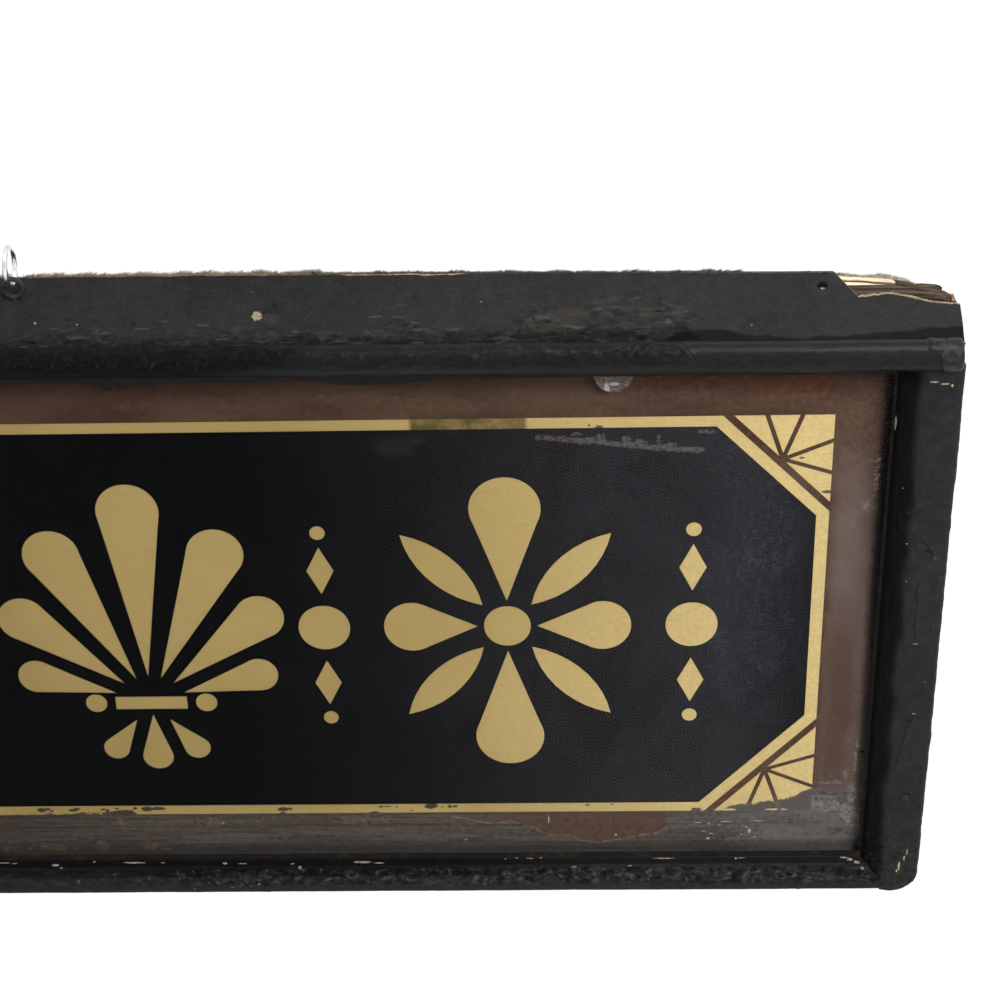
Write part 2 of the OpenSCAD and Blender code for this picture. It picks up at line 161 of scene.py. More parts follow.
def above_around(height, reach_u, reach_v):
    """How far each place of a grid stands above the mean of its neighbours."""
    mean = height
    for axis, reach in ((0, reach_u), (1, reach_v)):
        pads = [(0, 0), (0, 0)]
        pads[axis] = (reach + 1, reach)
        total = np.cumsum(np.pad(mean, pads, mode="edge"), axis=axis)
        size = 2 * reach + 1
        count = total.shape[axis] - size
        high, low = np.arange(size, size + count), np.arange(count)
        mean = (np.take(total, high, axis) - np.take(total, low, axis)) / size
    return height - mean


def sheets(u, v, seed):
    """Sheets of paint lapped like tiles along v: their height, 0 to 1, and the shadow below each lip."""
    rank = v + 0.9 * layers(u / 3.2, v / 3.0, seed, 4)
    t = rank - np.floor(rank)
    lip = np.minimum(t, 1 - t)
    return step(t, 0.0, 0.13) * (1 - t) * 1.15, 1 - step(lip, 0.02, 0.10)


# Meshes

def make_piece(name, points, faces, attributes=None, body="sign"):
    """A piece from points in the sign's millimetres, with one number per point for each attribute."""
    points = np.asarray(points, float).reshape(-1, 3) * MM
    points[:, 2] += GROUND
    mesh = bpy.data.meshes.new(name)
    mesh.from_pydata(points.tolist(), [], faces)
    for key, values in (attributes or {}).items():
        layer = mesh.attributes.new(key, "FLOAT", "POINT")
        layer.data.foreach_set("value", np.asarray(values, np.float32).ravel())
    edit = bmesh.new()
    edit.from_mesh(mesh)
    bmesh.ops.recalc_face_normals(edit, faces=edit.faces)
    edit.to_mesh(mesh)
    edit.free()
    mesh.shade_smooth()
    mesh.set_sharp_from_angle(angle=math.radians(50))
    piece = bpy.data.objects.new(name, mesh)
    bpy.context.scene.collection.objects.link(piece)
    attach(piece, body)
    return piece


def ring_faces(count, around):
    """Faces of a tube of count rings with around points each, closed at both ends."""
    index = np.arange(count * around).reshape(count, around)
    here, there = index[:-1], index[1:]
    quads = np.stack([here, np.roll(here, -1, 1), np.roll(there, -1, 1), there], -1)
    return quads.reshape(-1, 4).tolist() + [index[0][::-1].tolist(), index[-1].tolist()]


def line(start, end, spacing):
    """Points from start towards end, without end."""
    start, end = np.array(start, float), np.array(end, float)
    count = max(1, round(np.linalg.norm(end - start) / spacing))
    return start + (end - start) * (np.arange(count) / count)[:, None]


def arc(centre, radius, start, end, spacing):
    """Points on a circle from one angle towards another in degrees, without the last."""
    count = max(2, round(abs(math.radians(end - start)) * radius / spacing))
    angles = np.radians(start + (end - start) * np.arange(count) / count)
    return np.array(centre) + radius * np.stack([np.cos(angles), np.sin(angles)], -1)


def outward(outline):
    """Unit normals of a closed outline whose points run anticlockwise."""
    along = np.roll(outline, -1, 0) - np.roll(outline, 1, 0)
    normal = np.stack([along[:, 1], -along[:, 0]], -1)
    return normal / np.linalg.norm(normal, axis=1, keepdims=True)


def softened(outline, times, moved):
    """The outline with its corners rounded where moved is 1."""
    for _ in range(times):
        mean = (np.roll(outline, 1, 0) + outline + np.roll(outline, -1, 0)) / 3
        outline = outline + (mean - outline) * moved[:, None]
    return outline


def stations(*stretches):
    """Places along a piece: each stretch is (from, to, spacing)."""
    parts = [np.arange(round((b - a) / d)) * (b - a) / round((b - a) / d) + a for a, b, d in stretches]
    return np.concatenate(parts + [[stretches[-1][1]]])


def spikes(name, roots, tips, thick):
    """Many thin three-sided splinters, each from its root to its tip."""
    count = len(roots)
    turn = np.radians([90, 210, 330])
    feet = np.stack([np.cos(turn), np.zeros(3), np.sin(turn)], -1)
    base = roots[:, None, :] + feet[None, :, :] * thick[:, None, None]
    base[:, :, 1] += np.array([0.0, 0.35, -0.35])
    points = np.concatenate([base, tips[:, None, :]], 1)
    start = 4 * np.arange(count)[:, None]
    faces = [(start + np.array(f)).tolist() for f in ((0, 1, 2), (0, 3, 1), (1, 3, 2), (2, 3, 0))]
    return make_piece(name, points, sum(faces, []))


# Materials

def shade(red, green, blue):
    """A colour as a screen shows it, 0 to 255, for a colour socket."""
    def linear(c):
        c /= 255
        return c / 12.92 if c <= 0.04045 else ((c + 0.055) / 1.055) ** 2.4
    return (linear(red), linear(green), linear(blue), 1.0)


def grey(level):
    return shade(level, level, level)


class Finish:
    """A material whose nodes are added by short calls, each of which gives a socket."""

    def __init__(self, name):
        self.material = bpy.data.materials.new(name)
        self.material.use_nodes = True
        self.nodes = self.material.node_tree.nodes
        self.links = self.material.node_tree.links
        self.nodes.clear()
        self.place = self.node("TexCoord").outputs["Object"]

    def node(self, kind, inputs=None, **settings):
        made = self.nodes.new("ShaderNode" + kind)
        for key, value in settings.items():
            setattr(made, key, value)
        for key, value in (inputs or {}).items():
            if isinstance(value, bpy.types.NodeSocket):
                self.links.new(value, made.inputs[key])
            else:
                made.inputs[key].default_value = value
        return made

    def stretched(self, size):
        """Coordinates in which a patch of size (x, y, z) millimetres is one unit across."""
        scale = [1 / (s * MM) for s in size]
        return self.node("Mapping", {"Vector": self.place, "Scale": scale}).outputs[0]

    def noise(self, size, detail=4, rough=0.55, warp=0.0):
        inputs = {"Vector": self.stretched(size), "Scale": 1.0, "Detail": detail,
                  "Roughness": rough, "Distortion": warp}
        return self.node("TexNoise", inputs).outputs["Fac"]

    def axis(self, name):
        """One coordinate in the sign's millimetres."""
        value = self.node("SeparateXYZ", {0: self.place}).outputs[name]
        start = GROUND if name == "Z" else 0.0
        return self.times(self.math("SUBTRACT", value, start), 1 / MM)

    def attribute(self, name):
        return self.node("Attribute", attribute_name=name).outputs["Fac"]

    def ramp(self, value, low, high, start=0.0, end=1.0):
        """Start below low, end above high, smooth between."""
        inputs = {"Value": value, "From Min": low, "From Max": high, "To Min": start, "To Max": end}
        return self.node("MapRange", inputs, interpolation_type="SMOOTHSTEP").outputs["Result"]

    def between(self, value, low, high, soft):
        """1 between low and high, fading to 0 over soft on either side."""
        rise = self.ramp(value, low - soft, low)
        return self.times(rise, self.ramp(value, high, high + soft, 1, 0))

    def math(self, kind, a, b=0.0):
        return self.node("Math", {0: a, 1: b}, operation=kind).outputs[0]

    def times(self, a, b):
        return self.math("MULTIPLY", a, b)

    def mix(self, amount, first, second):
        inputs = {0: amount, 6: first, 7: second}
        return self.node("Mix", inputs, data_type="RGBA").outputs[2]

    def ragged(self, value, noise, reach):
        """A value pushed up and down by noise."""
        return self.math("ADD", value, self.times(self.math("SUBTRACT", noise, 0.5), reach))

    def spots(self, u, v, places, noise, reach):
        """1 within places (u, v, radius along u, radius along v) in millimetres, with ragged edges."""
        at = self.node("CombineXYZ", {0: u, 1: v}).outputs[0]
        nearest = 9.0
        for pu, pv, ru, rv in places:
            inputs = {0: at, 1: (1 / ru, 1 / rv, 0), 2: (-pu / ru, -pv / rv, 0)}
            scaled = self.node("VectorMath", inputs, operation="MULTIPLY_ADD").outputs[0]
            away = self.node("VectorMath", {0: scaled}, operation="LENGTH").outputs["Value"]
            nearest = self.math("MINIMUM", away, nearest)
        return self.ramp(self.ragged(nearest, noise, reach), 0.85, 1.1, 1.0, 0.0)

    def strokes(self, u, v, chains, width, noise, reach):
        """1 along chains of straight lines drawn width millimetres wide, with ragged edges."""
        at = self.node("CombineXYZ", {0: u, 1: v}).outputs[0]
        nearest = 99.0
        for chain in chains:
            for (u0, v0), (u1, v1) in zip(chain, chain[1:]):
                du, dv = u1 - u0, v1 - v0
                square = du * du + dv * dv
                start = self.node("VectorMath", {0: at, 1: (u0, v0, 0)}, operation="SUBTRACT").outputs[0]
                inputs = {0: start, 1: (du / square, dv / square, 0)}
                along = self.node("VectorMath", inputs, operation="DOT_PRODUCT").outputs["Value"]
                held = self.math("MAXIMUM", self.math("MINIMUM", along, 1.0), 0.0)
                foot = self.node("VectorMath", {0: (du, dv, 0), "Scale": held}, operation="SCALE").outputs[0]
                away = self.node("VectorMath", {0: start, 1: foot}, operation="DISTANCE").outputs["Value"]
                nearest = self.math("MINIMUM", away, nearest)
        return self.ramp(self.ragged(nearest, noise, reach), 0.35 * width, 0.65 * width, 1.0, 0.0)

    def profile(self, value, points, low, high):
        """A curve through points (position, height) in millimetres, as a value in millimetres."""
        start, end = points[0][0], points[-1][0]
        inputs = {"Value": self.times(self.math("SUBTRACT", value, start), 1 / (end - start))}
        made = self.node("FloatCurve", inputs)
        curve = made.mapping.curves[0]
        while len(curve.points) < len(points):
            curve.points.new(0.5, 0.5)
        for knot, (where, height) in zip(curve.points, points):
            knot.location = ((where - start) / (end - start), (height - low) / (high - low))
            knot.handle_type = "VECTOR"
        made.mapping.update()
        return self.math("ADD", self.times(made.outputs[0], high - low), low)

    def bump(self, value, depth, under=None):
        """Depth is the height in millimetres that a value of 1 stands for."""
        inputs = {"Height": value, "Distance": depth * MM, "Strength": 1.0}
        if under is not None:
            inputs["Normal"] = under
        return self.node("Bump", inputs).outputs[0]

    def surface(self, colour, roughness, normal=None, **more):
        inputs = {"Base Color": colour, "Roughness": roughness}
        if normal is not None:
            inputs["Normal"] = normal
        inputs.update({key.replace("_", " "): value for key, value in more.items()})
        return self.node("BsdfPrincipled", inputs).outputs[0]

    def finish(self, shader):
        self.node("OutputMaterial", {"Surface": shader})
        return self.material


def wood_colour(f, pale, dark, along=(240, 7, 7)):
    """Grain: long streaks of two colours with finer lines in them."""
    streaks = f.noise(along, detail=6, rough=0.6, warp=0.6)
    fine = [max(1.1, a * 0.16) if a < 50 else a * 0.7 for a in along]
    both = f.ragged(streaks, f.noise(fine, detail=3), 0.45)
    return f.mix(f.ramp(both, 0.3, 0.72), dark, pale), both


def front_place(f):
    """Places across the face: X and Z."""
    return f.axis("X"), f.axis("Z")


def hood_place(f):
    """Places on the weather board: X and the distance up it from its front edge."""
    up = f.times(f.math("SUBTRACT", f.axis("Y"), BOARD_FRONT), 1 / math.cos(BOARD_ANGLE))
    return f.axis("X"), up


def black_paint(name, place, chipped=(), cracks=(), scuffs=(), bare=(178, 164, 136), tone=34, level=0.08,
                gloss=(0.34, 0.5), size=(5, 3.2), vertical=False, fine=1.0):
    """Old black paint: dust, brush marks, pits, knots, cracks, scuffs and chips down to wood.

    The marks are at places across the face, as the function place gives them. Attributes: knots is where the
    paint is lumpy, and its lumps get painted highlights on top and painted shade between them; crest lightens
    ridges as painted highlights; hollows, lips, holes, seams and the edge by the glass are darkened as
    painted shade; dull is soot and painted shade, drawn by a dark matte shader; chip is bare wood.
    """
    f = Finish(name)
    u, v = place(f)
    grain = (1.3, 1.3, 22) if vertical else (22, 1.3, 1.3)
    patches = f.noise((55, 55, 55), detail=5)
    cloud = f.noise((8, 8, 8), detail=6, rough=0.68)
    brush = f.noise(grain, detail=4)
    grit = f.noise((1.0, 1.0, 1.0), detail=3, rough=0.7)
    knots = f.noise((size[0], size[1], size[1]), detail=5, rough=0.62, warp=0.9)
    lumpy = f.attribute("knots")
    colour = f.mix(f.ramp(patches, 0.35, 0.65), grey(tone - 3), grey(tone + 2))
    colour = f.mix(f.ramp(cloud, 0.42, 0.72, 0, 0.5), colour, shade(tone + 14, tone + 13, tone + 12))
    colour = f.mix(f.ramp(cloud, 0.46, 0.3, 0, 0.4), colour, grey(tone - 16))
    # Lumps of the knots noise: lighter on top as painted highlight, darker between as painted shade
    high = f.times(f.ramp(knots, 0.5, 0.68), lumpy)
    deep = f.times(f.ramp(knots, 0.49, 0.36), lumpy)
    colour = f.mix(f.times(high, 0.6), colour, shade(tone + 34, tone + 34, tone + 35))
    colour = f.mix(f.times(deep, 0.85), colour, grey(8))
    colour = f.mix(f.ramp(grit, 0.52, 0.72, 0, 0.32), colour, shade(tone + 34, tone + 33, tone + 32))
    colour = f.mix(f.ramp(grit, 0.46, 0.3, 0, 0.45), colour, grey(tone - 20))
    if scuffs:
        worn = f.times(f.spots(u, v, scuffs, cloud, 2.6), f.ramp(grit, 0.3, 0.6, 0.4, 1.0))
        colour = f.mix(f.times(worn, 0.22), colour, shade(84, 76, 62))
    # Ridges lightened: painted highlight
    crest = f.attribute("crest")
    colour = f.mix(f.ramp(crest, 0.1, 0.9, 0, 0.75), colour, shade(tone + 42, tone + 42, tone + 43))
    # Hollows, lips, holes and seams darkened: painted shade
    painted_shade = f.ramp(f.attribute("painted_shade"), 0.1, 0.9, 0, 0.92)
    colour = f.mix(painted_shade, colour, grey(7))
    torn = f.ramp(f.ragged(f.attribute("chip"), grit, 0.5), 0.46, 0.54)
    if chipped:
        torn = f.math("MAXIMUM", torn, f.spots(u, v, chipped, grit, 1.6))
    pale = [shade(*(c * k for c in bare)) for k in (1.08, 0.66)]
    wood = f.mix(f.ramp(grit, 0.35, 0.65), *pale)
    colour = f.mix(torn, colour, wood)
    normal = f.bump(cloud, 0.5 * fine, f.bump(grit, 0.1 * fine, f.bump(brush, 0.06 * fine)))
    normal = f.bump(f.times(knots, lumpy), 2.2 * fine, normal)
    if cracks:
        crack = f.strokes(u, v, cracks, 0.4, grit, 0.6)
        colour = f.mix(f.times(crack, 0.9), colour, grey(6))
        normal = f.bump(f.math("SUBTRACT", 1.0, crack), 0.35, normal)
    rough = f.math("ADD", f.ramp(cloud, 0.3, 0.7, *gloss), f.times(torn, 0.3))
    clean = f.surface(colour, rough, normal, Specular_IOR_Level=level)
    # The dull shader's colour: soot darkened further as painted shade, with painted highlights on lumps and
    # ridges and painted shade in hollows
    soot_and_shade_colour = f.mix(f.ramp(brush, 0.3, 0.7), shade(11, 11, 12), shade(20, 20, 22))
    soot_and_shade_colour = f.mix(f.times(high, 0.5), soot_and_shade_colour, shade(60, 60, 63))
    soot_and_shade_colour = f.mix(f.ramp(crest, 0.1, 0.9, 0, 0.7), soot_and_shade_colour, shade(64, 64, 68))
    soot_and_shade_colour = f.mix(torn, f.mix(f.math("MAXIMUM", painted_shade, deep), soot_and_shade_colour, shade(5, 5, 6)), wood)
    dead = f.surface(soot_and_shade_colour, 0.6, normal, Specular_IOR_Level=0.04)
    # Where dull is high the paint turns to the dark matte shader: soot and painted shade
    dull = f.ramp(f.ragged(f.attribute("dull"), cloud, 0.5), 0.15, 0.85)
    return f.finish(f.node("MixShader", {0: dull, 1: clean, 2: dead}).outputs[0])


def bare_wood(name, pale, dark, stain, along_z=False):
    """Planed softwood, aged: grain, stains and raised lines."""
    f = Finish(name)
    colour, grain = wood_colour(f, pale, dark, (7, 7, 240) if along_z else (240, 7, 7))
    blotches = f.noise((120, 60, 40), detail=5, rough=0.6)
    colour = f.mix(f.ramp(blotches, 0.5, 0.72, 0, 0.75), colour, stain)
    specks = f.noise((3, 3, 3), detail=3)
    colour = f.mix(f.ramp(specks, 0.66, 0.72, 0, 0.6), colour, dark)
    normal = f.bump(specks, 0.08, f.bump(grain, 0.6))
    rough = f.ramp(grain, 0.2, 0.8, 0.65, 0.88)
    return f.finish(f.surface(colour, rough, normal, Specular_IOR_Level=0.25))


def broken_wood(name):
    """Torn and weathered wood: dark old grain that turns pale where the attribute fresh is high, and painted
    shade in the splits between its layers.
    """
    f = Finish(name)
    old, grain = wood_colour(f, shade(98, 84, 70), shade(34, 29, 26), (60, 1.6, 1.6))
    new, _ = wood_colour(f, shade(238, 220, 190), shade(214, 188, 150), (40, 3.0, 3.0))
    crumbs = f.noise((1.4, 1.4, 1.4), detail=3)
    colour = f.mix(f.ramp(f.ragged(f.attribute("fresh"), crumbs, 0.3), 0.35, 0.65), old, new)
    # Splits between the torn layers darkened: painted shade
    colour = f.mix(f.ramp(f.attribute("painted_shade"), 0.3, 0.8, 0, 0.9), colour, shade(22, 18, 16))
    normal = f.bump(crumbs, 0.15, f.bump(grain, 0.4))
    return f.finish(f.surface(colour, 0.85, normal, Specular_IOR_Level=0.1))


def frayed_wood(name):
    """Splinters and lint along the top edge: bleached at the left, greyer to the right."""
    f = Finish(name)
    tone = f.noise((9, 2, 2), detail=4, rough=0.7)
    grey = f.ragged(f.ramp(f.axis("X"), 480, 640), tone, 1.6)
    colour = f.mix(f.ramp(grey, 0.1, 0.9), shade(176, 162, 140), shade(104, 95, 86))
    colour = f.mix(f.ramp(f.axis("X"), BROKEN_X, BROKEN_X + 10), colour, shade(186, 178, 164))
    return f.finish(f.surface(colour, 0.9, Specular_IOR_Level=0.05))


# Marks in the gilding: the edge up to which the leaf has gone from the lower line (X, Z), small holes
# in it, and leaf that is left below the edge (X, Z and half sizes)
LEAF_EDGE = [(340, 40), (349, 46), (352, 50.3), (358, 49.6), (366, 51.2), (373, 48.9), (384, 51.2),
             (390, 50.4), (400, 51), (409, 52.8), (418.7, 53.6), (421, 50), (424, 48), (429, 49.7),
             (433, 40), (780, 40), (788, 46), (791, 49.5), (798, 53), (806, 54.4), (814, 55.5), (823, 57.2),
             (831, 58.3), (837.5, 60.7), (840, 63), (850, 67.5)]
LEAF_HOLES = [(361, 53.3, 2.4, 1.0), (365, 54, 1.2, 0.6), (367.5, 52.6, 0.7, 0.6), (345, 49.6, 0.9, 0.4),
              (381, 53, 2.2, 0.7), (384, 54.2, 1.4, 0.5), (400.5, 53.5, 1.4, 0.5), (403, 52.5, 0.8, 0.8),
              (409, 54.3, 1.2, 0.4), (420.7, 54.2, 1, 0.6), (428.3, 53.7, 2.8, 1.1), (435.5, 54, 3.0, 0.8),
              (515, 52.8, 2.6, 0.9), (519.6, 53.2, 0.9, 0.6), (514.6, 50, 1.4, 0.5), (577, 54.3, 1.2, 0.4),
              (581, 54.4, 1.6, 0.3), (587, 54.1, 0.6, 0.3), (608.7, 54.8, 3.0, 1.4),
              (615.6, 53.8, 0.5, 0.3), (620.6, 54.2, 1.0, 0.7), (624, 54.3, 1.5, 0.5),
              (596.4, 51.2, 0.5, 0.3), (573, 49.6, 2.2, 0.6), (707.5, 54.6, 1.0, 0.4),
              (723, 54.9, 0.7, 0.3), (775.8, 50, 2.4, 1.2), (804, 51.6, 3.2, 1.8), (709.2, 325, 0.5, 0.4),
              (714.8, 323.6, 1.6, 0.8), (830.3, 302.5, 1.2, 0.4), (845.8, 280, 2.4, 0.6)]
LEAF_LEFT = [(799, 50.2, 9, 0.8), (826, 50.2, 7, 0.7)]


def gold_leaf(name):
    """Leaf behind glass: faint laps and scratches, and flaking along the lowest edge."""
    f = Finish(name)
    x, z = front_place(f)
    tone = f.noise((140, 140, 140), detail=3)
    mottle = f.noise((2.2, 2.2, 2.2), detail=5, rough=0.7)
    edge = f.noise((1.9, 1.9, 1.2), detail=6, rough=0.8)
    scratches = f.noise((24, 24, 0.8), detail=2, warp=3.0)
    others = f.noise((0.7, 30, 16), detail=2, warp=2.5)
    colour = f.mix(f.ramp(tone, 0.35, 0.65), shade(177, 154, 94), shade(190, 167, 108))
    # Brighter towards the right: painted light, where more light falls
    colour = f.mix(f.ramp(x, 560, 850, 0, 0.9), colour, shade(232, 209, 147))
    colour = f.mix(f.ramp(mottle, 0.3, 0.7, 0, 0.3), colour, shade(182, 156, 96))
    colour = f.mix(f.ramp(scratches, 0.64, 0.68, 0, 0.35), colour, shade(128, 106, 62))
    colour = f.mix(f.ramp(others, 0.68, 0.72, 0, 0.22), colour, shade(128, 106, 62))
    stain = f.times(f.between(f.ragged(x, edge, 3), 609, 672, 3), f.ramp(f.ragged(z, edge, 3), 319, 321))
    dirt = f.noise((14, 14, 8), detail=5, rough=0.6)
    grimy = f.times(stain, f.ramp(f.ragged(dirt, edge, 0.5), 0.25, 0.6, 0.55, 0.97))
    colour = f.mix(grimy, colour, f.mix(f.ramp(x, 640, 668), shade(84, 72, 40), shade(112, 97, 60)))
    limit = f.profile(x, LEAF_EDGE, 30, 80)
    teeth = f.ragged(edge, f.noise((6, 6, 4), detail=3), 0.6)
    gone = f.ramp(f.ragged(f.math("SUBTRACT", limit, z), teeth, 9.0), -0.12, 0.12)
    gone = f.times(gone, f.math("SUBTRACT", 1.0, f.spots(x, z, LEAF_LEFT, edge, 2.4)))
    # The holes are drawn wider than they are listed, with ragged edges
    wider = [(hx, hz, 1.4 * across, 1.75 * up) for hx, hz, across, up in LEAF_HOLES]
    gone = f.math("MAXIMUM", gone, f.spots(x, z, wider, edge, 2.4))
    behind = f.mix(f.ramp(edge, 0.4, 0.6), shade(52, 47, 42), shade(78, 70, 63))
    behind = f.mix(f.ramp(x, 620, 780), behind, shade(92, 85, 80))
    colour = f.mix(gone, colour, behind)
    metal = f.times(f.math("SUBTRACT", 1.0, gone), 0.3)
    rough = f.ramp(mottle, 0.3, 0.7, 0.45, 0.6)
    return f.finish(f.surface(colour, rough, Metallic=metal, Specular_IOR_Level=0.1))


# Smears on the black ground, below the upper line: chains of lines (X, Z), and spots with half sizes
SMEARS = [[(680, 317.6), (688, 316.8), (701, 315.2), (710, 315.4), (721, 313.2), (738, 311), (750, 309.6)],
          [(750, 309.6), (764, 308.4), (773, 308.2)]]
SMEAR_SPOTS = [(702, 319.4, 3, 1.2), (716, 318, 2.4, 2.2), (730, 315, 3, 2.4), (749, 314, 1.4, 3.2),
               (755, 311, 4, 2.2), (776, 319.8, 5, 1.2), (737, 313, 5, 2.4), (707, 315, 6, 2.2)]


def black_ground_paint(name):
    """Black paint behind glass: deep, lighter and bluer towards the right, partly a haze in the paint and
    partly painted light falling from the right, with smears and faint specks.
    """
    f = Finish(name)
    x, z = front_place(f)
    haze_and_light = f.noise((60, 60, 80), detail=8, rough=0.72, warp=0.7)
    fine = f.noise((3, 3, 3), detail=6, rough=0.75)
    # Lighter towards the right: partly a haze in the paint, partly painted light falling from the right
    across = f.ramp(x, 470, 840, 0.0, 1.0)
    lift = f.times(f.ramp(f.ragged(haze_and_light, fine, 0.5), 0.2, 0.8, 0.55, 1.0), across)
    lift = f.times(lift, f.ramp(x, 790, 850, 1.0, 0.5))
    colour = f.mix(lift, shade(6, 6, 8), shade(55, 54, 58))
    low_edge = f.times(f.ramp(f.ragged(z, fine, 8), 78, 56, 0, 0.5), f.ramp(x, 640, 740))
    colour = f.mix(low_edge, colour, shade(52, 49, 50))
    blue = f.times(f.between(x, 790, 818, 26), f.between(z, 150, 290, 50))
    speckle = f.ramp(f.ragged(haze_and_light, fine, 1.6), 0.45, 0.85)
    colour = f.mix(f.times(f.times(blue, speckle), 0.4), colour, shade(74, 78, 92))
    streaky = f.noise((6, 6, 3), detail=6, rough=0.8)
    spots = f.spots(x, z, SMEAR_SPOTS, streaky, 4.0)
    smear = f.math("MAXIMUM", f.strokes(x, z, SMEARS, 3.4, streaky, 5.0), spots)
    smear = f.times(smear, f.ramp(fine, 0.36, 0.58, 0.15, 1.0))
    smear_colour = f.mix(f.ramp(x, 690, 716), shade(112, 98, 94), shade(112, 112, 114))
    colour = f.mix(f.times(smear, 0.62), colour, smear_colour)
    haze = f.spots(x, z, [(598, 312, 12, 6), (610, 316, 6, 3)], fine, 2.6)
    colour = f.mix(f.times(haze, 0.1), colour, grey(90))
    colour = f.mix(f.ramp(fine, 0.55, 0.8, 0, 0.2), colour, shade(86, 86, 92))
    specks = f.noise((0.9, 0.9, 0.9), detail=1)
    colour = f.mix(f.ramp(specks, 0.74, 0.78, 0, 0.4), colour, shade(116, 116, 120))
    return f.finish(f.surface(colour, 0.7, Specular_IOR_Level=0.0))


# The patch of brown paint that is left on the lower margin: its lower edge (X, Z)
PATCH_EDGE = [(600, 47), (619, 46.4), (633, 44.3), (641, 41.2), (650, 40.7), (660, 42), (668, 39),
              (676, 34.9), (684, 30.8), (696, 30.7), (704, 26.2), (715, 24.9), (725, 26.5), (733, 28),
              (742, 30.4), (753, 32.3), (757.6, 37), (758.2, 60), (760, 60)]
# Bleached patches, pale dots and salt on the margin: X, Z and half sizes
PALE_PATCHES = [(335, 21.8, 10, 2.0), (349, 21.4, 4, 1.0), (365, 22.4, 9, 2.4), (378, 21.8, 4, 1.2),
                (397, 23.4, 4.5, 3.6), (429, 23.7, 7, 2.6), (437, 21.5, 2.5, 1.4), (410.6, 42.2, 2.2, 3.2),
                (470, 42, 5, 4), (555, 43, 5, 2.4), (566, 44, 14, 1.6), (824, 30.5, 5, 3)]
PALE_DOTS = [(475.6, 41.7, 0.7, 0.6), (682.9, 42.9, 0.4, 3.4), (630, 27.2, 0.6, 0.5), (725.5, 30.5, 0.8, 0.8),
             (784, 38.9, 1.0, 0.4), (784, 27, 1.1, 0.9), (810, 33, 1.0, 1.8), (808, 36, 0.9, 0.5),
             (791, 38, 0.5, 0.6), (777, 39.7, 2.4, 0.3), (795, 40.4, 4, 0.3), (781, 33, 1.4, 0.3),
             (786, 31, 1.2, 0.4), (815, 41, 3, 0.3), (805, 30, 0.5, 0.6), (813, 28, 0.6, 0.4)]
SALT = [(853, 57, 12, 4.0), (862, 52, 11, 3), (846, 52, 10, 2), (872, 46, 5, 8), (872.7, 62, 2.4, 9),
        (864, 71, 3, 1.4), (856, 70.8, 4, 1.2), (868, 77, 1.4, 4), (873.5, 88, 1.0, 9), (874, 100, 1.1, 5)]
SIDE_FLECKS = [(874, 300, 1.2, 6), (873.4, 287, 1.6, 9), (869, 270, 3, 4), (862, 258, 2, 2)]


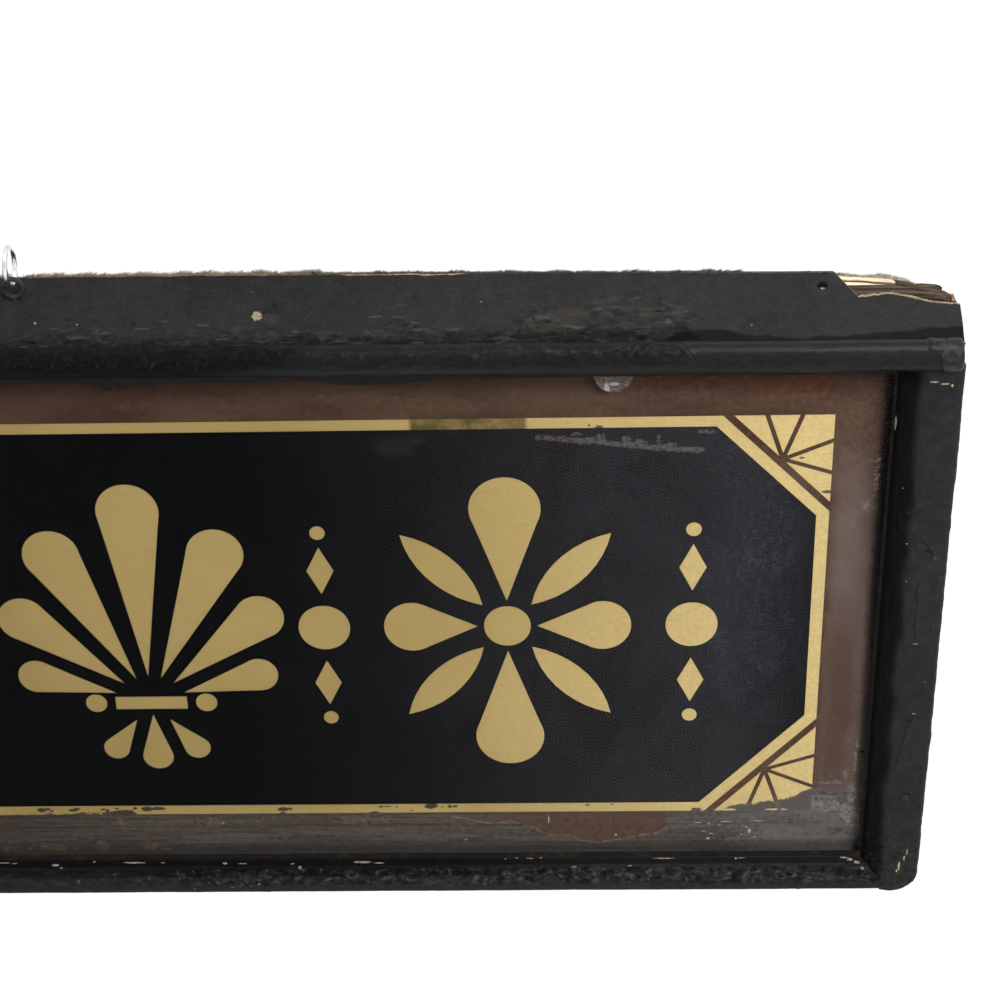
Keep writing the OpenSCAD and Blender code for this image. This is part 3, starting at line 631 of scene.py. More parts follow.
def margin_paint(name):
    """Reddish brown backing paint: smooth above, greyed at the side, flaked and bleached below."""
    f = Finish(name)
    x, z = front_place(f)
    clouds = f.noise((70, 70, 26), detail=6, rough=0.6)
    fine = f.noise((3, 3, 3), detail=7, rough=0.78)
    edge = f.noise((4.0, 4.0, 2.6), detail=6, rough=0.75)
    streaks = f.noise((60, 60, 2.0), detail=7, rough=0.7)
    across = f.ramp(x, 330, 760)
    warm = f.mix(across, shade(68, 48, 35), shade(74, 54, 43))
    pale = f.mix(across, shade(90, 69, 54), shade(94, 75, 62))
    colour = f.mix(f.ramp(f.ragged(clouds, fine, 0.6), 0.3, 0.7), warm, pale)
    # Darker just below the nosing: painted shadow of the hood
    colour = f.mix(f.ramp(f.ragged(z, clouds, 12), 339, 356, 0, 0.55), colour, shade(50, 37, 30))
    rusty = f.times(f.spots(x, z, [(760, 351, 44, 6), (822, 350, 26, 7)], clouds, 3.0), 0.6)
    colour = f.mix(rusty, colour, f.mix(f.ramp(fine, 0.35, 0.65), shade(66, 38, 24), shade(92, 58, 40)))
    stain = f.times(f.between(f.ragged(x, edge, 4), 609, 672, 4), f.between(z, 318, 331, 6))
    colour = f.mix(f.times(stain, 0.35), colour, shade(62, 50, 32))
    side = f.times(f.ramp(x, 846, 856), f.ramp(z, 335, 262))
    grey = f.mix(f.ramp(f.ragged(clouds, fine, 0.5), 0.25, 0.75), shade(98, 84, 77), shade(110, 97, 90))
    colour = f.mix(side, colour, grey)
    rust = f.times(f.between(f.ragged(x, clouds, 16), 857, 864, 9), f.between(z, 90, 165, 55))
    colour = f.mix(f.times(rust, 0.7), colour, shade(80, 60, 50))
    corner = f.times(f.ramp(f.ragged(x, clouds, 26), 862, 880), f.ramp(z, 120, 300, 0.35, 1))
    colour = f.mix(f.times(corner, 0.85), colour, shade(50, 39, 34))
    grime = f.ramp(f.ragged(f.ragged(x, edge, 16), fine, 7), 871.5, 878)
    colour = f.mix(f.times(grime, f.ramp(z, 100, 240, 0.4, 0.95)), colour, shade(30, 26, 25))
    flecks = f.spots(x, z, SIDE_FLECKS, edge, 4)
    colour = f.mix(f.times(flecks, f.ramp(fine, 0.45, 0.6, 0, 0.6)), colour, shade(134, 120, 114))
    low_limit = f.ramp(x, 780, 860, 50, 66)
    low = f.ramp(f.math("SUBTRACT", f.ragged(z, edge, 14), low_limit), -3, 4, 1, 0)
    down = f.mix(f.ramp(f.ragged(streaks, fine, 0.9), 0.28, 0.72), shade(68, 63, 58), shade(101, 93, 86))
    down = f.mix(f.ramp(x, 330, 480, 0.35, 0), down, shade(64, 57, 50))
    blotches = f.noise((40, 40, 9), detail=6, rough=0.7)
    down = f.mix(f.ramp(blotches, 0.5, 0.66, 0, 0.45), down, shade(92, 72, 62))
    right = f.mix(f.ramp(f.ragged(f.ragged(clouds, streaks, 0.5), fine, 0.9), 0.3, 0.7), shade(72, 69, 67),
                  shade(106, 103, 101))
    down = f.mix(f.ramp(x, 740, 800), down, right)
    down = f.mix(f.ramp(f.ragged(z, fine, 3), 26, 23.5, 0, 0.45), down, shade(68, 66, 63))
    lines = f.math("MAXIMUM", f.between(z, 25.1, 25.4, 0.5), f.between(z, 39.1, 39.3, 0.4))
    down = f.mix(f.times(lines, f.ramp(streaks, 0.35, 0.6, 0.15, 0.5)), down, shade(44, 42, 40))
    patch = f.math("SUBTRACT", f.ragged(z, edge, 3.0), f.profile(x, PATCH_EDGE, 20, 60))
    inside = f.times(f.ramp(patch, -0.2, 0.3), f.between(f.ragged(x, edge, 4), 622, 757.5, 0.8))
    left_over = f.mix(f.ramp(fine, 0.3, 0.7), shade(82, 64, 55), shade(100, 80, 69))
    down = f.mix(f.times(inside, f.ramp(x, 612, 690, 0.1, 0.9)), down, left_over)
    rim = f.times(f.between(patch, -0.5, 0.1, 0.4), f.between(x, 622, 758.5, 2))
    down = f.mix(f.times(rim, f.ramp(fine, 0.4, 0.65, 0.05, 0.8)), down, shade(150, 136, 124))
    colour = f.mix(low, colour, down)
    chalky = f.times(f.spots(x, z, PALE_PATCHES, edge, 6.0), f.ramp(fine, 0.38, 0.62, 0.1, 0.6))
    colour = f.mix(chalky, colour, shade(128, 112, 98))
    salt = f.times(f.spots(x, z, SALT, edge, 3.6), f.ramp(fine, 0.42, 0.66, 0.08, 0.75))
    colour = f.mix(salt, colour, shade(150, 143, 136))
    colour = f.mix(f.spots(x, z, [(877.2, 94.5, 1.6, 1.0)], edge, 1.0), colour, shade(36, 24, 22))
    colour = f.mix(f.spots(x, z, PALE_DOTS, edge, 1.4), colour, shade(178, 172, 160))
    colour = f.mix(f.ramp(fine, 0.54, 0.72, 0, 0.35), colour, shade(134, 121, 110))
    colour = f.mix(f.ramp(fine, 0.46, 0.28, 0, 0.45), colour, shade(42, 34, 30))
    specks = f.noise((0.9, 0.9, 0.9), detail=1)
    colour = f.mix(f.ramp(specks, 0.75, 0.8, 0, 0.5), colour, shade(146, 136, 126))
    return f.finish(f.surface(colour, 0.7, Specular_IOR_Level=0.0))


def clear_glass(name):
    """Old plate glass: it lets the backing through, and its front face alone mirrors a little."""
    f = Finish(name)
    front = f.ramp(f.axis("Y"), GLASS + 0.5, GLASS + 1.5, 1.0, 0.0)
    edge = f.times(f.node("Fresnel", {"IOR": 1.12}).outputs[0], front)
    clear = f.node("BsdfTransparent", {"Color": (0.985, 0.98, 0.98, 1)}).outputs[0]
    mirror = f.node("BsdfGlossy", {"Color": (1, 1, 1, 1), "Roughness": 0.05}).outputs[0]
    return f.finish(f.node("MixShader", {0: edge, 1: clear, 2: mirror}).outputs[0])


def chipped_glass(name):
    """The shell-shaped bruise at the top of the glass: grey ripples over the brown behind, with painted
    highlights on them.
    """
    f = Finish(name)
    x, z = front_place(f)
    fine = f.noise((5, 5, 1.6), detail=6, rough=0.75, warp=1.6)
    colour = f.mix(f.ramp(fine, 0.42, 0.62), shade(66, 56, 49), shade(112, 104, 98))
    # Bright spots on the ripples: painted highlights
    bright = f.spots(x, z, [(719, 351, 1.6, 4.0), (723, 354, 3, 1.0)], fine, 3.0)
    colour = f.mix(f.times(bright, 0.7), colour, shade(176, 174, 170))
    return f.finish(f.surface(colour, 0.3, f.bump(fine, 0.2), Specular_IOR_Level=0.2))


def old_putty(name):
    """Putty and paint run along the glass: mostly black, brown in places."""
    f = Finish(name)
    where = f.noise((9, 9, 9), detail=5, rough=0.7)
    grit = f.noise((1, 1, 1), detail=3)
    colour = f.mix(f.ramp(where, 0.5, 0.66, 0, 0.75), shade(17, 16, 15), shade(38, 34, 29))
    colour = f.mix(f.ramp(grit, 0.68, 0.76, 0, 0.5), colour, shade(118, 106, 88))
    return f.finish(f.surface(colour, 0.6, f.bump(grit, 0.2), Specular_IOR_Level=0.1))


def painted_iron(name):
    f = Finish(name)
    rust = f.noise((3, 3, 3), detail=5, rough=0.65)
    grit = f.noise((0.6, 0.6, 0.6), detail=2)
    colour = f.mix(f.ramp(rust, 0.6, 0.75), shade(36, 35, 35), shade(66, 50, 40))
    rough = f.ramp(rust, 0.3, 0.7, 0.45, 0.8)
    return f.finish(f.surface(colour, rough, f.bump(grit, 0.12), Metallic=0.1))


def bright_steel(name):
    f = Finish(name)
    wear = f.noise((4, 4, 4), detail=4)
    lines = f.noise((0.3, 5, 5), detail=2)
    colour = f.mix(f.ramp(wear, 0.4, 0.7), shade(240, 241, 244), shade(206, 207, 212))
    rough = f.ramp(wear, 0.3, 0.7, 0.16, 0.32)
    return f.finish(f.surface(colour, rough, f.bump(lines, 0.02), Metallic=1.0))


def dull_brass(name):
    f = Finish(name)
    tarnish = f.noise((2, 2, 2), detail=4)
    colour = f.mix(f.ramp(tarnish, 0.4, 0.65), shade(168, 138, 78), shade(92, 72, 46))
    rough = f.ramp(tarnish, 0.3, 0.7, 0.35, 0.6)
    return f.finish(f.surface(colour, rough, f.bump(tarnish, 0.05), Metallic=0.9))


# Marks in the black paint: places across the face and half sizes, in millimetres
HOOD_CHIPS = [(524.6, 23.4, 2.6, 3.0), (400.3, 20.0, 0.8, 0.7), (424.1, 19.0, 0.7, 0.5),
              (799.2, 14.9, 0.5, 0.5), (835.8, 4.3, 0.6, 0.4), (649.5, 31.6, 0.35, 0.35),
              (840.8, 43.4, 1.5, 0.9)]
HOOD_SCUFFS = [(532, 21, 5, 4), (686, 15, 14, 5), (697, 22, 12, 6), (716, 31, 6, 2), (724, 33, 5, 2),
               (748, 14.6, 6, 2.4), (738, 13.5, 5, 1.2), (729, 12, 3, 1.0), (733, 27, 16, 1.6),
               (750, 22, 14, 1.8), (662, 6, 5, 3), (604, 30, 4, 1.2)]
NOSING_CHIPS = [(902, 364.6, 2.6, 0.6), (908, 363.4, 0.8, 1.2), (897.6, 366.6, 1.6, 0.5)]
RAIL_CHIPS = [(333, 18.1, 5, 0.4), (341, 17.8, 2, 0.4), (367, 16.9, 2.6, 0.8), (371, 15.6, 1.2, 0.5),
              (392, 18.3, 1, 0.5), (417.4, 17.8, 8, 0.55), (436, 17.7, 1.6, 0.4), (476, 17.3, 1.6, 0.7),
              (487, 17.2, 3.0, 0.35), (519, 16.9, 1.6, 0.5), (524, 15.4, 1.2, 0.8), (564, 17.4, 6.4, 0.75),
              (575, 17.0, 3.6, 0.5), (655, 18.6, 0.8, 0.4), (662, 18.8, 0.9, 0.35), (670.7, 18.7, 2.2, 0.3),
              (677.7, 18.9, 0.8, 0.3), (698.6, 15.1, 1.8, 0.5), (734.2, 15.2, 1.4, 0.5),
              (755.8, 18.4, 8.2, 0.4), (804.5, 18.4, 3, 0.25), (801.3, 18.2, 0.8, 0.6),
              (456.8, 4.1, 1.0, 0.4), (481, 4.8, 1.0, 0.5), (493, 5.9, 0.7, 0.5), (498, 7.2, 0.7, 0.9),
              (869, 18.3, 2.6, 0.7), (873, 17.4, 2.0, 1.0), (877.5, 16.2, 2.0, 1.1),
              (880.5, 13.6, 1.0, 1.2)]
RAIL_CRACKS = [[(564, 16.4), (571, 16.2)], [(865, 19.4), (874, 13.6), (884, 8), (896.5, 0.8)],
               [(883, 2.4), (888, 7), (893, 13)]]
STILE_CRACKS = [
    [(903.3, 136.7), (900.8, 130), (898.6, 126), (898.4, 118), (897.7, 114), (896, 104), (893.5, 96.4)],
    [(898.2, 258.5), (901.9, 254.5), (905.5, 250)],
    [(899.1, 231.5), (898.3, 222), (899.0, 214), (898.6, 200), (899.9, 190)],
    [(886, 288), (888.5, 283)],
]
STILE_CHIPS = [(906.7, 30.9, 0.4, 2.2), (905.2, 26.0, 0.5, 1.8), (902.3, 20, 0.7, 3.2), (901.3, 16, 0.5, 1.2),
               (898.2, 359.4, 2.2, 0.4), (903.8, 358.1, 2.6, 0.5), (907.9, 357.1, 0.6, 1.0),
               (880.4, 329, 0.5, 4.2), (900.2, 187.1, 1.4, 0.25), (903, 137, 1.0, 0.25),
               (886.3, 290, 0.35, 0.35), (890.5, 255, 0.4, 0.4), (908, 160, 0.3, 0.3), (892, 230, 0.25, 0.3)]

hood_paint = black_paint("hood_paint", hood_place, HOOD_CHIPS, scuffs=HOOD_SCUFFS, bare=(166, 152, 124),
                         tone=37, level=0.07, gloss=(0.56, 0.68), size=(9, 4.5))
nosing_paint = black_paint("nosing_paint", front_place, NOSING_CHIPS, tone=21, level=0.12, gloss=(0.3, 0.36),
                           size=(4.0, 3.4), fine=0.4)
thin_chips = [(cx, cz, 0.9 * across, 0.6 * up) for cx, cz, across, up in RAIL_CHIPS]
rail_paint = black_paint("rail_paint", front_place, thin_chips, RAIL_CRACKS, bare=(146, 136, 121), tone=33,
                         size=(9, 4.2))
stile_paint = black_paint("stile_paint", front_place, STILE_CHIPS, STILE_CRACKS, vertical=True, fine=0.7)
run_paint = black_paint("run_paint", front_place, tone=21, level=0.1, fine=0.5)
plain_paint = black_paint("plain_paint", front_place, vertical=True)
raw_boards = bare_wood("raw_boards", shade(176, 142, 104), shade(116, 84, 56), shade(92, 72, 55))
raw_uprights = bare_wood("raw_uprights", shade(172, 138, 100), shade(112, 82, 55), shade(96, 75, 58), True)
torn_wood = broken_wood("torn_wood")
lint = frayed_wood("frayed_wood")
leaf = gold_leaf("pale_gold_leaf")
ground = black_ground_paint("black_ground_paint")
margin = margin_paint("margin_paint")
glass = clear_glass("plate_glass")
bruise = chipped_glass("chipped_glass")
putty = old_putty("old_putty")
iron = painted_iron("painted_iron")
steel = bright_steel("bright_steel")
brass = dull_brass("dull_brass")


def dress(piece, material):
    piece.data.materials.clear()
    piece.data.materials.append(material)
    return piece


# Hood

# Plan of the broken corner: distances from the right end and from the back
BREAK = [(0, 21.4), (16, 19.9), (24.2, 17.4), (38, 14.1), (49.6, 15.8), (55.3, 16.4), (68, 0)]
# How far the torn edge slants back under itself, by the distance from the right end
SLANT = [(0, 3.4), (13, 3.9), (18, 4.4), (26, 5.4), (35, 6.2), (46, 7.8), (54, 8.4), (58, 0.3)]
# How far up the board the hollow behind the nosing reaches, by X
VALLEY = [(745, 0), (758, 12), (775, 14), (799, 9), (823, 7), (860, 8.5), (880, 11), (896, 13), (915, 14)]
# Ridges and lumps of old paint on the hood: X, distance up the board, half sizes
HOOD_LUMPS = [(390, 9, 5, 3), (403, 8, 6, 2.6), (412, 16, 5, 2), (425, 9, 7, 3), (440, 12, 8, 2),
              (460, 15, 8, 2.4), (472, 19, 6, 1.6), (494, 17, 6, 2), (508, 7, 8, 2.6), (528, 5, 8, 2.6),
              (549, 12, 9, 2.4), (561, 7, 10, 3), (520, 40, 5, 1), (590, 21, 8, 2.2), (602, 21, 8, 2.0),
              (612, 17, 4, 2.4), (585, 9, 12, 4), (632, 12, 9, 3), (660, 5.5, 7, 4), (683, 20, 6, 3),
              (700, 13, 10, 4), (712, 26, 8, 3), (724, 20, 7, 3), (738, 9, 10, 3), (752, 16, 8, 3),
              (752, 30, 5, 5), (735, 33, 9, 3)]
HOOD_PITS = [(420, 35, 3.4, 1.1), (427, 38, 2.4, 0.8), (431, 30, 2.6, 0.9), (473, 25, 2.8, 0.9),
             (480, 28, 3.0, 0.9), (509.5, 41.5, 3.0, 1.2), (434.5, 21, 4.0, 0.9), (420, 22, 5.0, 1.0),
             (455, 19, 3.4, 1.4), (529, 27, 3.0, 1.4), (533, 31, 1.6, 3.0), (575, 27, 3.6, 1.2),
             (613, 20, 3.0, 1.0), (678, 19, 2.6, 2.0), (690, 24, 2.4, 1.0), (706, 10, 4.0, 2.4),
             (670, 12, 4.0, 2.0)]


def fall(x, back):
    """How far the old hood sags towards its right end; back is 0 at the front and 1 at the crest."""
    return step(x, 480, 930) * (1.4 + 2.2 * back)


def hood_top(y):
    return CREST + y * BOARD_SLOPE


def by_distance(table, x):
    away, value = zip(*table)
    return np.interp(HALF - x, away, value, right=value[-1])


def lumps(u, v, places, warp_seed):
    """0 to 1 over soft mounds at places (u, v, half size along u, half size along v), a little misshapen."""
    best = np.zeros(u.shape)
    bent_u = u + 2.2 * layers(u / 9, v / 6, warp_seed, 3)
    bent_v = v + 1.1 * layers(u / 7, v / 4, warp_seed + 9, 3)
    for pu, pv, ru, rv in places:
        near = np.clip(1.2 - ((bent_u - pu) / ru) ** 2 - ((bent_v - pv) / rv) ** 2, 0, None)
        best = np.maximum(best, near**2 / 1.44)
    return best


def hood_relief(x, s):
    """The weather board's paint: height, painted shadows (under lips, in pits and marks, and in the hollow
    behind the nosing), lumpiness, and soot with painted shade near the nosing; s runs up the slope from the
    front.
    """
    edge = 769 + 6 * bumps(s / 9, x * 0, 31) + 4 * bumps(x / 12, s / 5, 32)
    old = 1 - step(x, edge - 3, edge + 1)
    band = 10 + 7 * layers(x / 45, s * 0, 33, 3) + 14 * zone(x, 676, 762, 14)
    lower = 1 - step(s, band, band + 8)
    tall, lips = sheets(x / 9.0, s / 8.0, 1)
    patches = step(layers(x / 24, s / 7, 12, 3), 0.1, 0.6) * lower * old
    rolls = layers(x / 15, s / 7.5, 35, 3) * (0.3 + 0.7 * lower) * old
    mounds = lumps(x, s, HOOD_LUMPS, 41)
    pits = lumps(x, s, HOOD_PITS, 47)
    marks = step(layers(x / 4.5, s / 1.3, 57, 3) * 0.8 + 0.3 * layers(x / 30, s / 16, 67, 2), 0.62, 0.86)
    marks = marks * old * (1 - step(s, 34, 44)) * (1 - step(x, 560, 640) * (1 - lower))
    grain = 0.05 * layers(x / 10, s / 1.6, 15, 2)
    swell = 0.4 * layers(x / 95, s / 38, 21, 3)
    fill = old * (1 - step(s, 0.5, 9.5)) * (2.3 + 1.3 * layers(x / 10, s / 6, 37, 4))
    height = swell + grain + 0.3 * old + 1.1 * rolls + 1.1 * mounds - 0.6 * pits - 0.35 * marks
    height = height + 0.7 * patches * tall + fill
    valley = np.interp(x, *zip(*VALLEY))
    valley = valley + 1.6 * layers(x / 13, s / 6, 39, 3) * step(valley, 0, 5)
    height = height - 0.19 * np.clip(valley - s, 0, None)
    shadow = np.maximum(0.3 * patches * lips, 0.7 * np.maximum(pits * step(pits, 0.3, 0.8), marks))
    # Darker low on the board near the nosing: soot and painted shade
    reach = 2 + 5 * step(x, 600, 680)
    soot_and_shade = old * (1 - step(s + 3 * layers(x / 14, s / 8, 77, 3) - reach, 0.0, 13.0)) * 0.62
    # The hollow behind the nosing is darkened too: painted shade
    return height, np.maximum(shadow, 0.72 * step(valley - s, -0.5, 2.5)), (0.12 + 0.5 * lower) * old, soot_and_shade


def make_weather_board():
    x = stations((-HALF, SEEN_X, 3.2), (SEEN_X, 800, 0.95), (800, HALF, 0.75))
    rows, under = 66, 4
    deep = by_distance(BREAK, x)
    deep = np.where(HALF - x > BREAK[-1][0], 0, deep)
    torn = deep > 0.3
    jagged = 0.5 * bumps(x / 2.3, x * 0, 21) + 0.25 * bumps(x / 0.9, x * 0, 23)
    deep = deep + torn * jagged * (HALF - x < 56)
    top_end = BOARD_LENGTH - deep / math.cos(BOARD_ANGLE)
    slant = by_distance(SLANT, x) * torn * (1 + 0.12 * bumps(x / 5, x * 0, 22))
    under_end = np.minimum(BOARD_LENGTH, top_end + slant)
    s_top = np.linspace(0, 1, rows)[None, :] * top_end[:, None]
    s_under = np.linspace(1, 0, under)[None, :] * under_end[:, None]
    face = np.linspace(0, 1, 7)[None, 1:-1]
    s_face = top_end[:, None] + (under_end - top_end)[:, None] * face
    x_top = np.repeat(x[:, None], rows, 1)
    x_face = np.repeat(x[:, None], face.shape[1], 1)
    x_under = np.repeat(x[:, None], under, 1)
    h_top, shadow, knots, soot_and_shade = hood_relief(x_top, s_top)
    proud = above_around(h_top, 4, 3)
    edge = step(top_end[:, None] - s_top, 0, 1.0)
    h_top = h_top * (0.3 + 0.7 * edge)
    hole = np.hypot(x_top - HOLE_X, s_top - HOLE_UP) / NAIL_HEAD
    h_top -= 2.6 * (1 - step(hole, 0.75, 1.15))
    tear = 0.5 * layers(x_face / 9, s_face / 1.5, 24, 3)
    h_face = -BOARD_THICK * face + tear * np.sin(np.pi * face)
    s = np.concatenate([s_top, s_face, s_under], 1)
    h = np.concatenate([h_top, h_face, np.full(s_under.shape, -BOARD_THICK)], 1)
    xs = np.concatenate([x_top, x_face, x_under], 1)
    y = BOARD_FRONT + s * math.cos(BOARD_ANGLE) - h * math.sin(BOARD_ANGLE)
    z = hood_top(BOARD_FRONT) + s * math.sin(BOARD_ANGLE) + h * math.cos(BOARD_ANGLE)
    z -= fall(xs, s / BOARD_LENGTH)
    y = np.minimum(y, 0.0)
    ragged_top = 1.0 + 0.9 * layers(x_top / 9, s_top / 9, 29, 4) + 1.6 * zone(x_top, 576, 632, 12)
    marks = {key: np.zeros(s.shape) for key in ("chip", "painted_shade", "dull", "knots", "crest")}
    marks["chip"][:, :rows] = 0.8 * (1 - step(BOARD_LENGTH - s_top, ragged_top * 0.6, ragged_top + 0.3))
    marks["chip"][:, :rows] *= ~torn[:, None]
    marks["chip"][:, rows - 1:rows + face.shape[1]] = np.where(torn[:, None], 1.0, 0.0)
    # Hollows and the open nail hole painted dark, ridges painted light: painted shade and painted highlight
    shadow = np.maximum(shadow, 0.68 * step(-proud, 0.09, 0.65))
    marks["painted_shade"][:, :rows] = np.maximum(shadow, 1.0 * (hole < 0.95))
    marks["crest"][:, :rows] = 0.55 * step(proud, 0.09, 0.65)
    marks["knots"][:, :rows] = knots
    marks["dull"][:, :rows] = soot_and_shade
    piece = make_piece("hood_weather_board_worn", np.stack([xs, y, z], -1), ring_faces(*s.shape), marks)
    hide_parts("hood_weather_board")
    return dress(piece, hood_paint)


# Runs and blisters on the nosing: X, distance round it from the glass, half sizes
NOSING_LUMPS = [(395, 28.5, 1.4, 2.6), (415, 28, 1.3, 3), (439, 27.4, 2.2, 2.4), (447, 28.6, 1.2, 3),
                (471, 27.4, 2.0, 2.6), (485, 28, 1.2, 4), (495, 27, 1.6, 3.4), (500, 28, 1.0, 3),
                (553, 34, 1.0, 4), (541, 33, 1.2, 3), (575, 33, 1.2, 3), (585, 31, 1.4, 3),
                (611, 32, 2.2, 2.4), (616, 31.5, 1.0, 3), (647, 31, 3.0, 2.6), (652, 33, 1.0, 3),
                (660, 41, 5, 2.6), (671, 37, 3, 3), (686, 34, 4, 3), (700, 33, 3, 2.6), (712, 33, 3, 2.6)]
# Folds in its paint, as lines between places of the same kind
CRUMPLES = [[(724, 31), (733, 39)], [(731, 30), (738, 40)], [(737, 31), (745, 39)], [(749, 33), (756, 31)],
            [(758, 36), (764, 30)], [(719, 33), (726, 36)]]


def nosing_relief(x, a):
    """The nosing's paint: height, soot and painted shade, cracks, and pale marks that are painted highlights
    on runs and drops and the filler's own paler grey; a is the distance round it from the glass.
    """
    left = 1 - step(x + 26 * layers(x / 60, a / 20, 40, 2), 500, 580)
    upper = step(a + 2.2 * layers(x / 18, a / 9, 41, 4), 24.2, 26.5)
    old = 1 - step(x, 755, 775)
    runs = step(layers(x / 3.2, a / 9, 44, 3), 0.15, 0.9) * zone(a, 24, 31, 4) * (0.25 + 0.75 * left) * old
    drops = lumps(x, a, NOSING_LUMPS, 46)
    folds = np.exp(-(np.minimum(line_distance(x, a, CRUMPLES[0]), 9) / 1.3) ** 2)
    for fold in CRUMPLES[1:]:
        folds = np.maximum(folds, np.exp(-(line_distance(x, a, fold) / 1.3) ** 2))
    skin = 0.45 * layers(x / 9, a / 5, 50, 3) * step(a, 27, 36) * old
    border = 892 + 0.5 * np.clip(40 - a, 0, None) + 4 * layers(a / 9, x / 9, 52, 3)
    filler = step(x - border, 0, 1.5) * step(a, 12, 15)
    crack = line_distance(x, a, [(905, 46), (902, 40), (903, 34), (898, 30), (899, 26)])
    swell = 0.25 * layers(x / 70, a / 30, 55, 3)
    small = 0.06 * layers(x / 4, a / 3, 58, 2) + 0.10 * layers(x / 14, a / 9, 60, 2)
    h = swell + small + skin + 0.5 * runs + 0.8 * drops + 1.0 * folds
    h = h + filler * (0.7 + 0.4 * layers(x / 8, a / 8, 62, 3)) - 0.3 * filler * (1 - step(crack, 0.2, 0.9))
    cracks = 0.6 * filler * (1 - step(crack, 0.3, 1.0))
    # Runs and drops get pale marks as painted highlights; the filler keeps its own paler grey
    bright = np.maximum(drops, 0.15 * runs)
    # Soot and painted shade, on the left and along the upper part
    soot_and_shade = np.maximum(left * (0.75 + 0.25 * upper), 0.45 * old * upper)
    pale = filler * (0.4 + 0.3 * layers(x / 5, a / 4, 64, 3))
    return h, soot_and_shade, cracks, np.maximum(0.5 * bright * step(a, 20, 25), pale)


def make_nosing():
    low = NOSING_Z - NOSING_R + 0.2
    tongue_back = GLASS + 4
    tongue_z = glass_high[2] + 1.7
    board_z = hood_top(BOARD_FRONT)
    under = (BOARD_FRONT + BOARD_THICK * math.sin(BOARD_ANGLE),
             board_z - BOARD_THICK * math.cos(BOARD_ANGLE) - 0.1)
    back_top = hood_top(tongue_back) - BOARD_THICK / math.cos(BOARD_ANGLE) - 0.1
    start = math.degrees(math.atan2(board_z - 0.1 - NOSING_Z, BOARD_FRONT - NOSING_Y))
    outline = np.concatenate([
        line((GLASS, low), (NOSING_Y, low), 1.5),
        arc((NOSING_Y, NOSING_Z), NOSING_R, 270, start, 0.7),
        line((BOARD_FRONT, board_z - 0.1), under, 2),
        line(under, (tongue_back, back_top), 4),
        line((tongue_back, back_top), (tongue_back, tongue_z), 3),
        line((tongue_back, tongue_z), (GLASS, tongue_z), 4),
        line((GLASS, tongue_z), (GLASS, low), 4),
    ])[::-1]
    normals = outward(outline)
    lengths = np.linalg.norm(np.diff(outline[::-1], axis=0), axis=1)
    a = np.concatenate([[0], np.cumsum(lengths)])[::-1]
    shown = step(a, 0.5, 8) * (1 - step(a, 47, 50))
    x = stations((-HALF, SEEN_X, 3.2), (SEEN_X, HALF - 4, 0.8), (HALF - 4, HALF, 0.5))
    xs, around = np.meshgrid(x, a, indexing="ij")
    h, dull, cracks, pale = nosing_relief(xs, around)
    h = h * shown
    proud = above_around(h, 3, 2)
    # Ridges painted pale as painted highlights, besides the filler's own paler grey
    pale = np.clip(np.maximum(pale, 0.35 * step(proud, 0.1, 0.5)), 0, 1) * shown
    ends = np.clip((np.abs(xs) - (HALF - 5)) / 5, 0, 1)
    front = shown[None, :] * (around > 8)
    h -= 2.6 * (1 - np.sqrt(1 - ends**2 * 0.98)) * front
    y = outline[None, :, 0] + normals[None, :, 0] * h
    z = outline[None, :, 1] + normals[None, :, 1] * h - fall(xs, 0.0) * (around < 52)
    xs = xs - np.sign(xs) * 3.0 * ends * front
    # The seam behind the roll, the filler's crack and hollows in the paint are painted dark: painted shade
    seam_shade = step(around, 43, 48) * (around < 52) * (0.35 + 0.65 * step(xs, 755, 790))
    painted_shade = np.maximum(np.maximum(cracks, seam_shade), 0.8 * step(-proud, 0.08, 0.4) * shown)
    knots = shown * (0.08 + 0.22 * (1 - step(xs, 740, 775)) * step(around, 22, 30))
    marks = {"painted_shade": painted_shade, "dull": dull * shown, "crest": pale, "knots": knots}
    piece = make_piece("hood_nosing_worn", np.stack([xs, y, z], -1), ring_faces(*xs.shape), marks)
    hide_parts("hood_nosing")
    return dress(piece, nosing_paint)


# How far the laths have sunk where the hood has broken off, by X
BACK_DROP = [(BROKEN_X, 0.6), (857, 1.8), (874, 2.8), (888, 5.0), (893, 7.2), (908, 8.0)]
FRONT_DROP = [(BROKEN_X, -0.6), (873, -0.9), (890, 0.2), (901, 1.5), (908, 3.2), (912, 5.0)]


